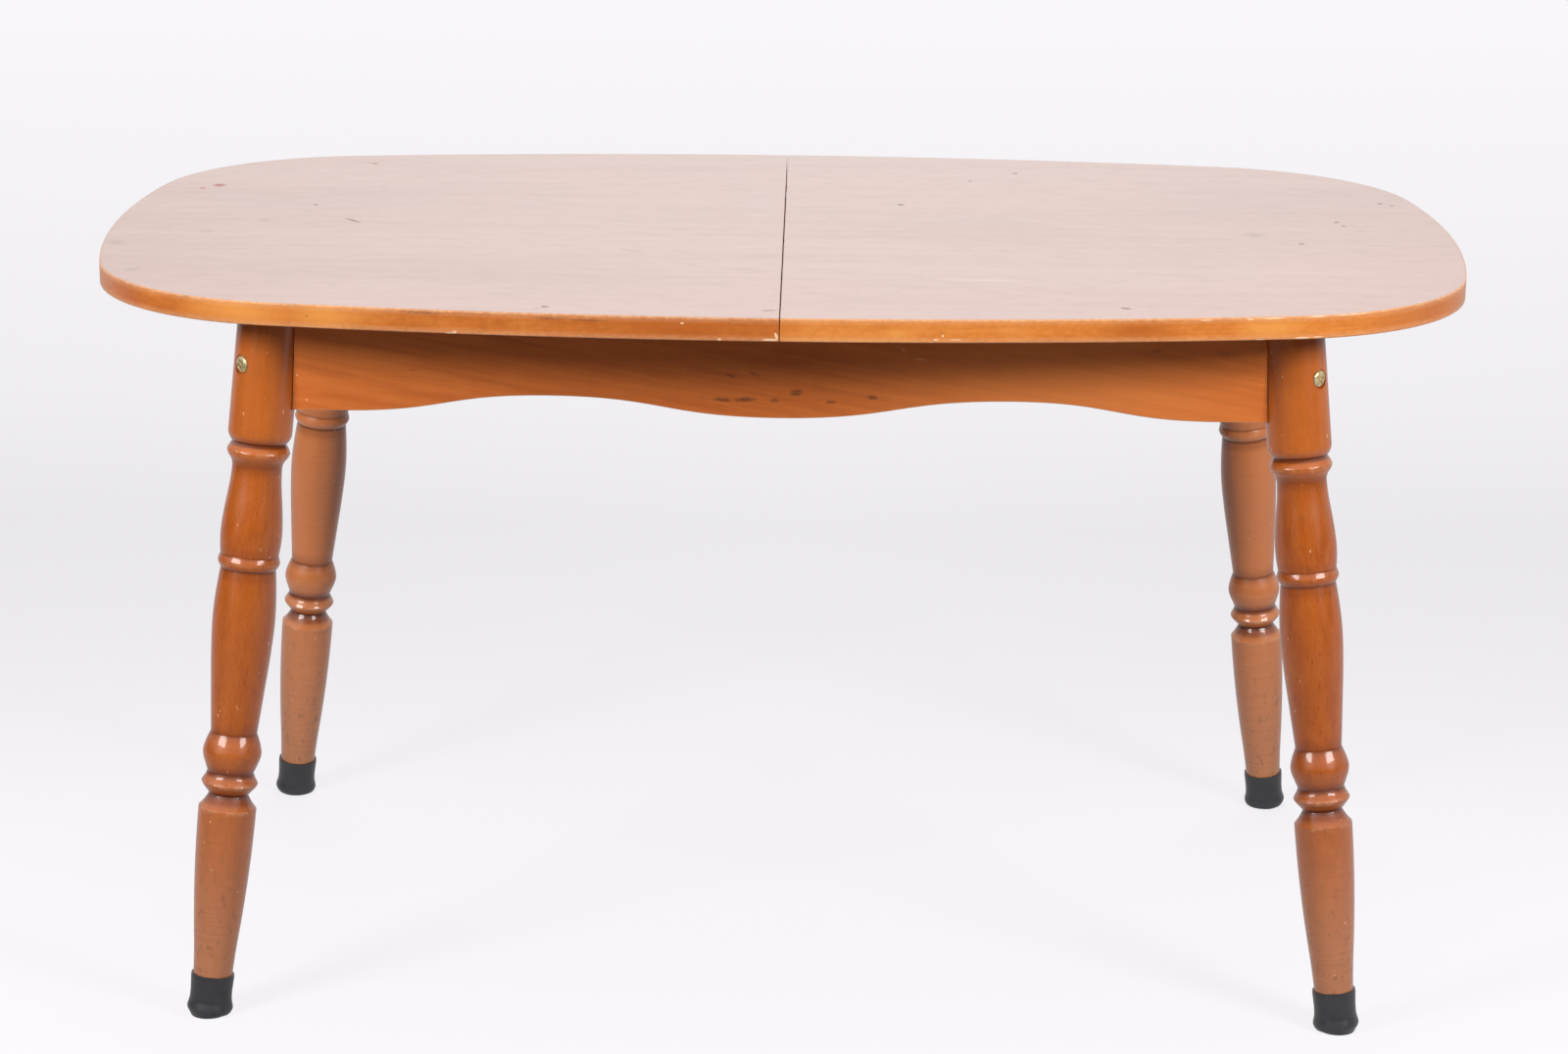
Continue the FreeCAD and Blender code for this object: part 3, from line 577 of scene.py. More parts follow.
def veneer_finish(name, axis, marked):
    wood = Finish(name)
    place = wood.place()
    dark, middle, light = veneer_tones_with_painted_reflection
    fibres = wood.grain(place, axis, veneer_tones_with_painted_reflection, 0.7, 1.0, 0.0)
    clouds = wood.noise(place, stretched(axis, 3.5, 6.0), 2.0)
    blotches = wood.noise(place, stretched(axis, 26.0, 46.0), 5.0, 0.66)
    wood.lay(
        (clouds, 0.5, 0.75, 0.5, light), (clouds, 0.5, 0.25, 0.6, dark),
        (blotches, 0.5, 0.75, 0.36, tinted(dark, 0.8)), (blotches, 0.5, 0.25, 0.36, light))
    coat = 1.0
    if marked:
        ragged = wood.spread(wood.noise(place, 420.0, 2.0), 0.3, 0.55, 0.5, 1.0)
        stains, faints, pales, darks = wood.mark(
            place, (seen_on_top, 2, endless), (stain_marks, 0.7, 1.0, stain_colour),
            (faint_marks, 1.0, 0.4, tinted(dark, 0.4)), (pale_marks, 1.0, 0.35, pale_colour),
            (dark_marks, 0.5, ragged, mark_colour))
        worn = wood.largest(wood.times(stains, 0.6), darks, wood.times(faints, 0.4))
        coat = wood.math("MULTIPLY_ADD", worn, -0.95, 1.0)
    return wood.done(
        wood.uneven(clouds, least_roughness, 0.36), fibres, 0.003, 0.1 * mm,
        IOR=1.4, Coat_Weight=coat, Coat_Roughness=0.18, Coat_IOR=2.2)


def core_finish():
    """Board core on the seam faces: pressed chips, sawn dull, with dirt along the top."""
    core = Finish("board_core")
    place = core.place()
    cells = core.vector("MULTIPLY", place, (420.0, 420.0, 700.0))
    chips = core.fill(core.add("TexVoronoi", feature="F1"), Vector=cells, Scale=1.0).outputs
    dust = core.noise(place, 900.0)
    tone = core.add("SeparateColor", (chips["Color"],)).outputs[0]
    core.colour = core.mix(core.spread(tone, 0.1, 0.9), core_tones[0], core_tones[2])
    core.lay(
        (dust, 0.3, 0.7, 0.5, core_tones[1]),
        (core.part(place, 2), *seam_dirt_turn, 0.95, seam_dirt_colour), eased=True)
    return core.done(core.uneven(dust, 0.62, 0.8), chips["Distance"], 0.3, 0.2 * mm)


def underside_finish():
    wood = Finish("board_underside")
    fibres = wood.grain(wood.place(), "X", under_tones, 0.9)
    return wood.done(wood.uneven(fibres, 0.5, 0.66), fibres, 0.12, 0.1 * mm)


# Solid wood edge of the top, worn and mottled, with painted highlight and painted shade

edge_tones_left = ((0.4, 0.095, 0.014), (0.6, 0.175, 0.03), (0.74, 0.27, 0.06))
edge_tones_right = ((0.5, 0.135, 0.02), (0.7, 0.22, 0.038), (0.84, 0.33, 0.08))
red_and_shade_edge_colour = (0.43, 0.095, 0.014)
pale_and_highlight_edge_colour = (0.86, 0.36, 0.085)
smudge_colour = (0.13, 0.035, 0.012)
# Pale tone of wear, also laid as a painted highlight along arrises
wear_and_highlight_colour = (0.88, 0.55, 0.32)
chip_colour = (0.95, 0.66, 0.43)

# Marks on the front edge: pixel (across, down), half length and half height in mm, turn in degrees
edge_smudges = [(430, 319, 24, 2.6, 0), (188, 302, 7, 2, 0), (300, 311, 10, 1.6, 0),
                (560, 325, 22, 1.6, 0), (600, 327, 26, 1.6, 0), (313, 323, 2, 1, 0)]
edge_chips = [(460, 340, 6, 0.9, 0), (464, 339, 2, 1.6, 0), (734, 347, 1.8, 2.2, 40),
              (696, 330, 2.2, 1, 0), (786, 347, 9, 1.4, 0), (792, 343, 1.6, 4, -20), (955, 347, 3, 1, 0),
              (962, 343, 1.2, 1.6, 0), (975, 347, 7, 0.6, 0), (1286, 347, 5, 1.2, 0),
              (1329, 345, 9, 1.3, 0), (1345, 344, 6, 0.8, 0), (1231, 327, 7, 0.8, 0),
              (1276, 326, 4, 0.9, 0), (1300, 325, 12, 0.9, 0), (1345, 323, 8, 0.8, 0),
              (1380, 321, 20, 0.5, 0)]
# Pale patches: a painted highlight where the lamps are mirrored at the left and right, and one small paler
# spot
edge_pale_and_highlight_patches = [(245, 318, 75, 26, 0), (330, 322, 60, 24, 0), (915, 341, 18, 7, 0),
                     (1300, 335, 45, 14, 0)]
# Red patches: painted shade at the two ends, where the edge turns away from the lamps, and redder wood
# elsewhere
edge_red_and_shade_patches = [(700, 336, 150, 26, 0), (130, 296, 30, 30, 0), (1460, 316, 90, 40, 0),
                    (1160, 338, 60, 16, 0)]
nearing_rounds = 4


def seen_on_edge(pixel):
    """Point of the rounded front edge that a pixel of the photograph shows."""
    seen = seen_on_plane(pixel, 1, -half_width)
    front = [point for point, normal, way in half_outline(1) if point.y <= 0]
    for attempt in range(nearing_rounds):
        near = min(front, key=lambda point: abs(point.x - abs(seen.x)))
        seen = seen_on_plane(pixel, 1, near.y)
    return seen


def edge_finish(name, tones):
    """Grain follows the edge: U is the way along it and V the way over it."""
    wood = Finish(name)
    way = wood.add("UVMap", uv_map="way").outputs[0]
    dark, middle, light = tones
    fibres = wood.grain(way, "X", tones, 0.8)
    blotches = wood.noise(way, (22.0, 40.0, 1.0), 2.0)
    mottle = wood.noise(way, (110.0, 190.0, 1.0), 3.0, 0.6)
    specks = wood.noise(way, (260.0, 700.0, 1.0), 3.0, 0.6)
    rubbed = wood.noise(way, (170.0, 300.0, 1.0), 4.0, 0.65)
    grime = wood.times(wood.stored("below_arris"), wood.spread(specks, 0.5, 0.68, 0.0, 0.25))
    ragged = wood.spread(specks, 0.3, 0.6, 0.25, 1.0)
    # Mask of the arrises' wear and painted highlight
    worn = wood.times(wood.stored("arris"), wood.spread(rubbed, 0.4, 0.62, 0.3, 0.6))
    wood.lay(
        (blotches, 0.5, 0.75, 0.35, light), (blotches, 0.5, 0.25, 0.35, dark),
        (mottle, 0.5, 0.72, 0.34, dark), (mottle, 0.5, 0.3, 0.24, light))
    wood.cover(grime, smudge_colour)
    # The marks reach inwards, but not through to the back edge
    # Red patches lay painted shade at the ends and pale patches a painted highlight of the lamps
    wood.mark(
        wood.place(), (seen_on_edge, 1, half_width / 2),
        (edge_red_and_shade_patches, 1.0, 0.6, red_and_shade_edge_colour), (edge_pale_and_highlight_patches, 1.0, 0.6, pale_and_highlight_edge_colour),
        (edge_smudges, 0.9, wood.times(ragged, 0.75), smudge_colour), (edge_chips, 0.4, 0.85, chip_colour))
    # Arrises paled: wear, and painted highlight where they catch the light
    wood.cover(worn, wear_and_highlight_colour)
    rough = wood.math("MULTIPLY_ADD", worn, 0.15, wood.uneven(blotches, least_roughness, 0.36))
    relief = wood.math("MULTIPLY_ADD", specks, 0.3, fibres)
    return wood.done(
        rough, relief, 0.05, 0.15 * mm, IOR=1.4, Coat_Weight=0.4, Coat_Roughness=0.1, Coat_IOR=1.5)


# Stained and lacquered beech of the legs and aprons

leg_tones = ((0.28, 0.048, 0.005), (0.42, 0.09, 0.008), (0.515, 0.134, 0.019))
apron_tones = ((0.42, 0.08, 0.006), (0.57, 0.126, 0.013), (0.67, 0.178, 0.03))
# Dark tone of dirt, also laid as painted shade in the legs' grooves
dirt_and_shade_colour = (0.11, 0.022, 0.006)

# Colours that a leg takes on along its length, with the heights in metres between which they come in: dust
# with a painted floor reflection low down, a painted reflection of the backdrop on the back legs and
# painted light on the head
dust_and_floor_reflection_colour = (0.56, 0.235, 0.115)
dust_and_floor_reflection_turn = (0.32, 0.0)
backdrop_reflection_colour = (0.74, 0.25, 0.085)
backdrop_reflection_turn = (-0.2, 0.3)
lit_head_colour = (0.62, 0.165, 0.024)
lit_head_turn = (0.5, 0.6)


def leg_finish():
    """Grain along the leg's own axis; grooves and coves hold dirt and painted shade, ridges are rubbed, the
    head gets painted light, the lower leg dust with a painted floor reflection and the back legs a painted
    reflection of the backdrop.
    """
    wood = Finish("leg_wood")
    place = wood.place(3.0)
    height = wood.part(wood.place(), 2)
    dark, middle, light = leg_tones
    fibres = wood.grain(place, "Z", leg_tones, 0.36, 0.9)
    short_flecks = wood.noise(place, (420.0, 420.0, 75.0), 2.0)
    mottle = wood.noise(place, (150.0, 150.0, 45.0), 3.0, 0.6)
    clouds = wood.noise(place, (26.0, 26.0, 9.0), 3.0, 0.55, 0.3)
    flecks = wood.noise(place, (420.0, 420.0, 170.0), 2.0, 0.6)
    turning = wood.noise(place, (14.0, 14.0, 650.0), 2.0, 0.6)
    bruises = wood.noise(place, (170.0, 170.0, 90.0), 3.0, 0.6)
    rubbed = wood.noise(place, 120.0, 3.0, 0.6)
    nicks = wood.noise(place, (300.0, 300.0, 110.0), 1.0)
    wood.lay((short_flecks, 0.52, 0.72, 0.4, dark), eased=True)
    wood.lay(
        (mottle, 0.52, 0.75, 0.35, dark), (mottle, 0.48, 0.28, 0.4, light),
        (clouds, 0.55, 0.75, 0.4, light), (clouds, 0.45, 0.28, 0.35, dark))
    # Dark flecks, and painted light that makes the head brighter
    wood.lay((flecks, 0.62, 0.72, 0.5, dirt_and_shade_colour), (height, *lit_head_turn, 0.35, lit_head_colour), eased=True)
    # Back legs paler: a painted reflection of the white backdrop
    towards_back = wood.spread(wood.part(wood.origin(), 1), -half_width, half_width)
    wood.cover(wood.times(towards_back, wood.spread(height, *backdrop_reflection_turn, 0.0, 0.8)), backdrop_reflection_colour)
    low_dust_and_reflection = wood.spread(height, *dust_and_floor_reflection_turn, 0.0, 0.8)
    turned = wood.times(wood.spread(turning, 0.5, 0.75), wood.spread(low_dust_and_reflection, 0.0, 1.0, 0.15, 0.5))
    bruised = wood.times(wood.spread(bruises, 0.54, 0.76), low_dust_and_reflection)
    ridges = wood.spread(wood.stored("ridge"), 0.25, 1.0, 0.0, 0.22)
    nick = wood.spread(nicks, 0.775, 0.8)
    # Lower leg paler: dust and a painted reflection of the floor
    wood.cover(low_dust_and_reflection, dust_and_floor_reflection_colour)
    wood.cover(turned, tinted(dust_and_floor_reflection_colour, 0.4))
    wood.cover(bruised, tinted(dust_and_floor_reflection_colour, 0.4))
    # Coves darkened with dirt and painted shade where little light reaches
    wood.cover(wood.times(wood.stored("cove"), 0.8), tinted(dark, 0.7))
    # Grooves darkened with dirt and painted shade
    wood.cover(wood.spread(wood.stored("groove"), 0.05, 0.8, 0.0, 0.8), dirt_and_shade_colour)
    wood.cover(wood.times(ridges, wood.spread(rubbed, 0.4, 0.65)), wear_and_highlight_colour)
    wood.cover(wood.times(nick, 0.8), wear_and_highlight_colour)
    return wood.done(
        wood.uneven(clouds, least_roughness, 0.38), wood.math("MULTIPLY_ADD", nick, -2.0, fibres),
        0.05, 0.12 * mm, IOR=1.4, Coat_Weight=0.75, Coat_Roughness=0.06, Coat_IOR=1.5)


# Marks on the front apron: pixel (across, down), half length and half height in mm, turn in degrees
apron_smudges = [(737, 408, 12, 2.8, 6), (760, 408, 15, 3.2, -4), (790, 409, 6, 2.6, 0),
                 (813, 401, 9, 4.2, -8), (848, 411, 7, 2.5, 0), (890, 406, 8, 2.6, 5),
                 (746, 384, 6, 1.6, 20), (770, 382, 8, 1.6, 20)]
apron_reds = [(421, 378, 7, 1.1, 0)]
apron_knots = [(1252, 362, 16, 4, 8), (1181, 358, 9, 3, 0)]
apron_pales = [(1080, 400, 280, 120, 0)]
apron_scratches = [(922, 358, 5, 0.7, 35), (939, 367, 9, 0.7, 6), (303, 383, 1.5, 1.2, 0),
                   (313, 408, 1.5, 1.2, 0)]
apron_pale_colour = (0.85, 0.26, 0.06)
apron_red_colour = (0.5, 0.05, 0.02)
apron_grain_lean = math.radians(-10)


def seen_on_apron(pixel):
    return seen_on_plane(pixel, 1, -(leg_top_y + apron_face_offset))


def apron_finish(name, marked):
    wood = Finish(name)
    place = wood.place()
    moved = wood.place(2.0)
    dark, middle, light = apron_tones
    fibres = wood.grain(moved, "X", apron_tones, 0.75, 0.9)
    leaning = wood.add("VectorRotate", (moved, None, None, apron_grain_lean), rotation_type="Y_AXIS")
    figure = wood.noise(moved, (48.0, 48.0, 38.0), 4.0, 0.62)
    bands = wood.noise(leaning.outputs[0], (5.0, 30.0, 130.0), 3.0, 0.6, 0.4)
    wood.lay(
        (figure, 0.5, 0.72, 0.2, dark), (figure, 0.5, 0.3, 0.15, light),
        (bands, 0.5, 0.7, 0.55, dark), (bands, 0.5, 0.3, 0.45, light))
    if marked:
        specks = wood.noise(place, (150.0, 150.0, 480.0), 3.0, 0.6)
        ragged = wood.spread(specks, 0.38, 0.52, 0.3, 1.0)
        wood.mark(
            place, (seen_on_apron, 1, endless), (apron_pales, 1.0, 0.5, apron_pale_colour),
            (apron_knots, 1.0, 0.35, dirt_and_shade_colour), (apron_reds, 0.9, 0.6, apron_red_colour),
            (apron_smudges, 0.7, wood.times(ragged, 0.85), dirt_and_shade_colour),
            (apron_scratches, 0.6, 0.6, wear_and_highlight_colour))
    # Paler along the rounded arris of the outer face: wear and a painted highlight
    wood.lay((wood.stored("arris"), 0.2, 1.0, 0.35, wear_and_highlight_colour), eased=True)
    return wood.done(wood.uneven(fibres, 0.32, 0.42), fibres, 0.06, 0.12 * mm, IOR=1.33)


# Hidden beech, rubber, metals and felt

beech_tones = ((0.45, 0.27, 0.13), (0.6, 0.4, 0.22), (0.68, 0.49, 0.3))
rubber_tones = ((0.033, 0.032, 0.036), (0.04, 0.039, 0.043))
rubber_dust_colour = (0.16, 0.15, 0.15)
scuffed_turn = (14 * mm, 4 * mm)
brass_tones = ((0.9, 0.73, 0.42), (0.5, 0.39, 0.2))
zinc_tones = ((0.62, 0.62, 0.6), (0.42, 0.42, 0.41))
felt_tones = ((0.05, 0.11, 0.07), (0.1, 0.18, 0.12))


def beech_finish(name, axis, tones):
    """Unfinished beech with its short dark flecks."""
    wood = Finish(name)
    place = wood.place()
    fibres = wood.grain(place, axis, tones, 0.9)
    flecks = wood.noise(place, stretched(axis, 130.0, 620.0), 1.0)
    wood.lay((flecks, 0.66, 0.74, 0.45, tones[0]), eased=True)
    return wood.done(wood.uneven(fibres, 0.55, 0.7), fibres, 0.2, 0.12 * mm)


def rubber_finish():
    """Black rubber, scuffed and dusty near the floor."""
    rubber = Finish("black_rubber")
    place = rubber.place(3.0)
    clouds = rubber.noise(place, 60.0)
    dust = rubber.noise(place, 900.0, 3.0, 0.65)
    low = rubber.spread(rubber.part(rubber.place(), 2), *scuffed_turn)
    rubber.colour = rubber.mix(rubber.spread(clouds, 0.3, 0.7), *rubber_tones)
    rubber.cover(rubber.times(low, rubber.spread(dust, 0.5, 0.7, 0.0, 0.6)), rubber_dust_colour)
    return rubber.done(rubber.uneven(clouds, 0.27, 0.31), dust, 0.05, 0.1 * mm, IOR=1.55)


def metal_finish(name, tones, rough_low, rough_high, metallic=1.0):
    """Metal with tarnish in clouds and fine scuffs."""
    metal = Finish(name)
    place = metal.place(5.0)
    clouds = metal.noise(place, 260.0, 4.0, 0.6)
    scuffs = metal.noise(place, (1500.0, 400.0, 1500.0), 3.0, 0.6)
    metal.colour = metal.mix(metal.spread(clouds, 0.4, 0.62), *tones)
    rough = metal.uneven(scuffs, rough_low, rough_high)
    return metal.done(rough, scuffs, 0.15, 0.05 * mm, Metallic=metallic)


def felt_finish():
    felt = Finish("felt")
    fuzz = felt.noise(felt.place(), 1600.0, 4.0, 0.7)
    felt.colour = felt.mix(felt.spread(fuzz, 0.3, 0.7), *felt_tones)
    return felt.done(0.95, fuzz, 0.5, 0.3 * mm, Sheen_Weight=0.4)


# Top: outline, edge strips and boards

def half_outline(sx):
    """(point, outward normal, way gone) from the front of the seam round the end to its back."""
    side_centre = Vector((0, half_width - side_arc_radius))
    end_centre = Vector((half_length - end_arc_radius, 0))
    side_reach = side_arc_radius - corner_arc_radius
    end_reach = end_arc_radius - corner_arc_radius
    between = end_centre - side_centre
    along = (side_reach ** 2 - end_reach ** 2 + between.length_squared) / (2 * between.length)
    across = math.sqrt(side_reach ** 2 - along ** 2)
    unit = between.normalized()
    corner_centre = side_centre + unit * along + Vector((unit.y, -unit.x)) * across
    side_angle, end_angle = (
        math.atan2(*(corner_centre - centre).normalized()) for centre in (side_centre, end_centre))
    seam_angle = math.asin(half_seam / side_arc_radius)
    bevel_angle = math.asin((half_seam + seam_chamfer) / side_arc_radius)
    arcs = [
        (side_centre, side_arc_radius, seam_angle, bevel_angle),
        (side_centre, side_arc_radius, bevel_angle, side_angle),
        (corner_centre, corner_arc_radius, side_angle, end_angle),
        (end_centre, end_arc_radius, end_angle, math.pi / 2),
    ]
    quarter = []
    for centre, radius, start, end in arcs:
        steps = max(1, round(radius * (end - start) / outline_step))
        for step in range(steps):
            angle = start + (end - start) * step / steps
            normal = Vector((math.sin(angle), math.cos(angle)))
            quarter.append((centre + normal * radius, normal))
    end_point = [(Vector((half_length, 0)), Vector((1, 0)))]
    to_front = Matrix.Diagonal((1, -1))
    front = [(to_front @ point, to_front @ normal) for point, normal in quarter]
    whole = front + end_point + quarter[::-1]
    ways = ways_along([point for point, normal in whole])
    to_side = Matrix.Diagonal((sx, 1))
    return [(to_side @ point, to_side @ normal, way) for (point, normal), way in zip(whole, ways)]


def lipping_profile():
    """(inset, depth below the top, way over the edge, share of wear and painted highlight) round the edge
    strip's section.
    """
    upper, lower = rounded_edge(arris_radius, arris_steps, board_thickness)
    flat = board_thickness - 2 * arris_radius
    face = [(0.0, arris_radius + share * flat) for share in lipping_face_shares]
    section = [(lipping_thickness, 0.0)] + upper + face + lower + [(lipping_thickness, board_thickness)]
    inner_steps = arris_steps - 1
    upper_wear_and_highlight = [arris_rim_wear_and_highlight] + [1.0] * inner_steps + [arris_rim_wear_and_highlight]
    # The lower arris is paled as a painted highlight of the light from the floor
    lower_painted_highlight = [arris_rim_wear_and_highlight] * inner_steps + [0.0] * 2
    worn = [0.0] + upper_wear_and_highlight + [0.0] * len(face) + lower_painted_highlight + [0.0]
    return [(*pair, way, arris) for pair, way, arris in zip(section, ways_along(section), worn)]


def make_lipping(side, sx, finishes):
    """Solid edge strip round one half, with its arris wear and painted highlight and its texture's way
    stored on the mesh.
    """
    stations = half_outline(sx)
    profile = lipping_profile()
    rings = []
    for i, (point, normal, way) in enumerate(stations):
        at_seam = i in (0, len(stations) - 1)
        ring = []
        for inset, depth, over, arris in profile:
            flat = point - normal * inset
            if at_seam:
                flat.x = sx * half_seam
                depth = max(depth, seam_chamfer)
            ring.append(Vector((flat.x, flat.y, table_height - depth)))
        rings.append(ring)
    piece = loft("edge_band_" + side, rings, finishes)
    mesh = piece.data
    store_values(mesh, "arris", [arris for inset, depth, over, arris in profile] * len(rings))
    below = [max(0.0, 1 - abs(depth - arris_radius) / grime_depth) for inset, depth, over, arris in profile]
    store_values(mesh, "below_arris", below * len(rings))
    layer = mesh.uv_layers.new(name="way")
    shift = right_grain_shift if sx > 0 else 0
    for face in mesh.polygons:
        for corner, vertex in zip(face.loop_indices, face.vertices):
            row, column = divmod(vertex, len(profile))
            layer.data[corner].uv = (stations[row][2] + shift, profile[column][2])
    for face in mesh.polygons:
        if face.normal.z > facing_up:
            face.material_index = 1
    return stand_in(piece, "top_" + side, "edge_wood", "edge_lipping_" + side)


def make_panel(side, sx, finishes):
    """Veneered board inside its edge strip, bevelled along the seam."""
    inner = [point - normal * lipping_thickness for point, normal, way in half_outline(sx)]
    levels = ((0.0, half_seam + seam_chamfer), (seam_chamfer, half_seam), (board_thickness, half_seam))
    rings = []
    for depth, seam_x in levels:
        height = table_height - depth
        rings.append([Vector((sx * max(abs(point.x), seam_x), point.y, height)) for point in inner])
    piece = loft("tabletop_" + side, rings, finishes)
    for face in piece.data.polygons:
        if face.normal.z < facing_down:
            face.material_index = 2
        elif face.normal.z < facing_out:
            face.material_index = 1
    if sx > 0:
        cutters = []
        for y in (-dowel_spacing, 0, dowel_spacing):
            ends = [(end, socket_radius) for end in (-socket_depth, socket_depth)]
            cutter = lathe("socket", ends, socket_segments, finishes[1])
            middle = Vector((half_seam, y, board_underside + board_thickness / 2))
            cutter.matrix_world = Matrix.Translation(middle) @ Matrix.Rotation(math.pi / 2, 4, "Y")
            cutters.append(cutter)
        cut(piece, cutters)
    return stand_in(piece, "top_" + side, "top_veneer", "top_panel_" + side)


# Legs and their rubber caps

def leg_axis_point(sx, sy, z):
    share = (board_underside - z) / board_underside
    return Vector((sx * (leg_top_x + leg_splay_x * share), sy * (leg_top_y + leg_splay_y * share), z))


def facing(origin, direction):
    """Matrix whose Z axis points along the direction."""
    return Matrix.Translation(origin) @ direction.to_track_quat("Z", "Y").to_matrix().to_4x4()


def leg_frame(sx, sy):
    """Matrix whose Z axis is the leg's axis and whose origin is on the floor."""
    foot = leg_axis_point(sx, sy, 0)
    return facing(foot, (leg_axis_point(sx, sy, board_underside) - foot).normalized())


def bolt_frame(sx, sy):
    """Matrix whose Z axis is the bolt's outward direction, with the leg's axis at the origin."""
    return facing(leg_axis_point(sx, sy, bolt_height), Vector((sx, sy, 0)).normalized())


def height_at_level(place, point, level):
    """Height along a leaning axis at which a point beside the axis is at a level above the floor."""
    turn = place.to_3x3()
    return (level - (turn[2][0] * point.x + turn[2][1] * point.y)) / turn[2][2]


leg_length = Vector((leg_splay_x, leg_splay_y, board_underside)).length
leg_shoulder = cap_height + leg_shoulder_gap


def leg_profile():
    """(height, radius) pairs of the turned part, from the shoulder on the cap upwards."""
    profile = [leg_foot_share]
    for run in leg_run_shares:
        profile += smooth_run(profile[-1:] + run)[1:]
    reach = leg_length - leg_shoulder
    return [(leg_shoulder + height * reach, radius * leg_head_radius) for height, radius in profile]


def hollows(profile, reach, depth):
    """How far each ring lies inside the line between the shape a little above and below it."""
    def radius_near(target):
        return min(profile, key=lambda pair: abs(pair[0] - target))[1]

    return [((radius_near(height - reach) + radius_near(height + reach)) / 2 - radius) / depth
            for height, radius in profile]


def make_leg(corner, sx, sy, material):
    """Turned leg, level at its top, with the counterbore of its bolt; hollows are stored for the dirt,
    painted shade and wear.
    """
    turned = leg_profile()
    grooves = hollows(turned, groove_reach, groove_depth)
    head_base = turned[-1][0]
    head_rings = math.ceil((leg_length - head_base) / head_step)
    profile = [(cap_floor, leg_stub_radius), (leg_shoulder, leg_stub_radius)] + turned
    for ring in range(1, head_rings + 1):
        profile.append((head_base + (leg_length - head_base) * ring / head_rings, leg_head_radius))
    piece = lathe("turned_leg_" + corner, profile, leg_segments, material)
    place = leg_frame(sx, sy)
    mesh = piece.data
    kinds = {"groove": grooves, "ridge": [-value for value in grooves],
             "cove": hollows(turned, cove_reach, cove_depth)}
    for kind, values in kinds.items():
        whole = [0.0, 0.0] + [min(1.0, max(0.0, value)) for value in values] + [0.0] * head_rings
        store_values(mesh, kind, [value for value in whole for turn in range(leg_segments)])
    for vertex in mesh.vertices[-leg_segments:]:
        vertex.co.z = height_at_level(place, vertex.co, frame_top)
    piece.matrix_world = place
    ends = [(end, bolt_counterbore_radius) for end in (bolt_seat, bolt_seat + 2 * cut_overrun)]
    hole = lathe("hole", ends, bolt_segments, material)
    hole.matrix_world = bolt_frame(sx, sy)
    cut(piece, [hole])
    return stand_in(piece, "frame", "leg_wood", "leg_" + corner)


def make_cap(corner, sx, sy, material):
    """Rubber cap on the foot, cut off level with the floor."""
    outside = smooth_run(cap_foot_shares) + smooth_run(cap_wall_shares)[1:]
    profile = [(-cap_overrun, cap_sole_share * cap_radius)]
    profile += [(height * cap_height, radius * cap_radius) for height, radius in outside]
    profile += [(cap_height, cap_rim_share * cap_radius), (cap_height, leg_stub_radius),
                (cap_floor, leg_stub_radius)]
    piece = lathe("rubber_foot_" + corner, profile, cap_segments, material, cap_sharp_angle)
    place = leg_frame(sx, sy)
    for vertex in piece.data.vertices:
        vertex.co.z = max(vertex.co.z, height_at_level(place, vertex.co, 0))
    piece.matrix_world = place
    return stand_in(piece, "frame", "rubber", "foot_cap_" + corner)


def make_bolt(corner, sx, sy, material):
    """Domed bolt through the leg, with the cuts in its head."""
    rim_top = bolt_seat + bolt_head_rim
    top = bolt_seat + bolt_head_dome
    profile = [(-bolt_tail, bolt_radius), (bolt_seat, bolt_radius), (bolt_seat, bolt_head_radius)]
    for step in range(dome_steps):
        angle = math.pi / 2 * step / dome_steps
        profile.append((rim_top + (top - rim_top) * math.sin(angle), bolt_head_radius * math.cos(angle)))
    profile.append((top, bolt_flat_radius))
    piece = lathe("leg_bolt_" + corner, profile, bolt_segments, material, bolt_sharp_angle)
    piece.matrix_world = bolt_frame(sx, sy)
    cutters = []
    for length, width, depth, first_turn in ((recess_length, recess_width, recess_depth, 0),
                                             (nick_length, nick_width, nick_depth, nick_turn)):
        for degrees in (first_turn, first_turn + 90):
            cutter = bar("slot", length, width, top - depth, top + cut_overrun, material)
            cutter.matrix_world = piece.matrix_world @ Matrix.Rotation(
                math.radians(degrees + recess_turn), 4, "Z")
            cutters.append(cutter)
    cut(piece, cutters, bolt_sharp_angle)
    return stand_in(piece, "frame", "brass", "leg_bolts")


# Aprons

def bezier_points(start, end, steps):
    """S-shaped edge that is level at both ends; its handles reach half the span."""
    points = []
    for step in range(1, steps + 1):
        t = step / steps
        x = start[0] + (end[0] - start[0]) * (1.5 * t * (1 - t) + t ** 3)
        z = start[1] + (end[1] - start[1]) * (3 * t * t * (1 - t) + t ** 3)
        points.append((x, z))
    return points


def apron_outline(span, end_at):
    """Outline in the XZ plane; end_at(z) gives how far the board reaches at a height."""
    lower = frame_top - apron_depth
    start = span * arch_start_share
    crest = span * arch_crest_share
    outline = [(-start, lower)]
    outline += bezier_points((-start, lower), (-crest, lower + arch_rise), easing_steps)
    outline += bezier_points((-crest, lower + arch_rise), (0, lower - arch_centre_drop), easing_steps)
    outline += [(-x, z) for x, z in outline[-2::-1]]
    ends = [lower + apron_depth * step / end_steps for step in range(end_steps + 1)]
    outline += [(end_at(z), z) for z in ends]
    outline += [(-end_at(z), z) for z in reversed(ends)]
    return outline


def inset_outline(outline, inset):
    """Moves each point of a closed outline inwards."""
    moved = []
    for i, (x, z) in enumerate(outline):
        before = Vector(outline[i - 1])
        here = Vector((x, z))
        after = Vector(outline[(i + 1) % len(outline)])
        first = (here - before).normalized()
        second = (after - here).normalized()
        normal = Vector((-first.y - second.y, first.x + second.x)).normalized()
        stretch = max(least_mitre, normal.dot(Vector((-first.y, first.x))))
        moved.append(here + normal * inset / stretch)
    return moved


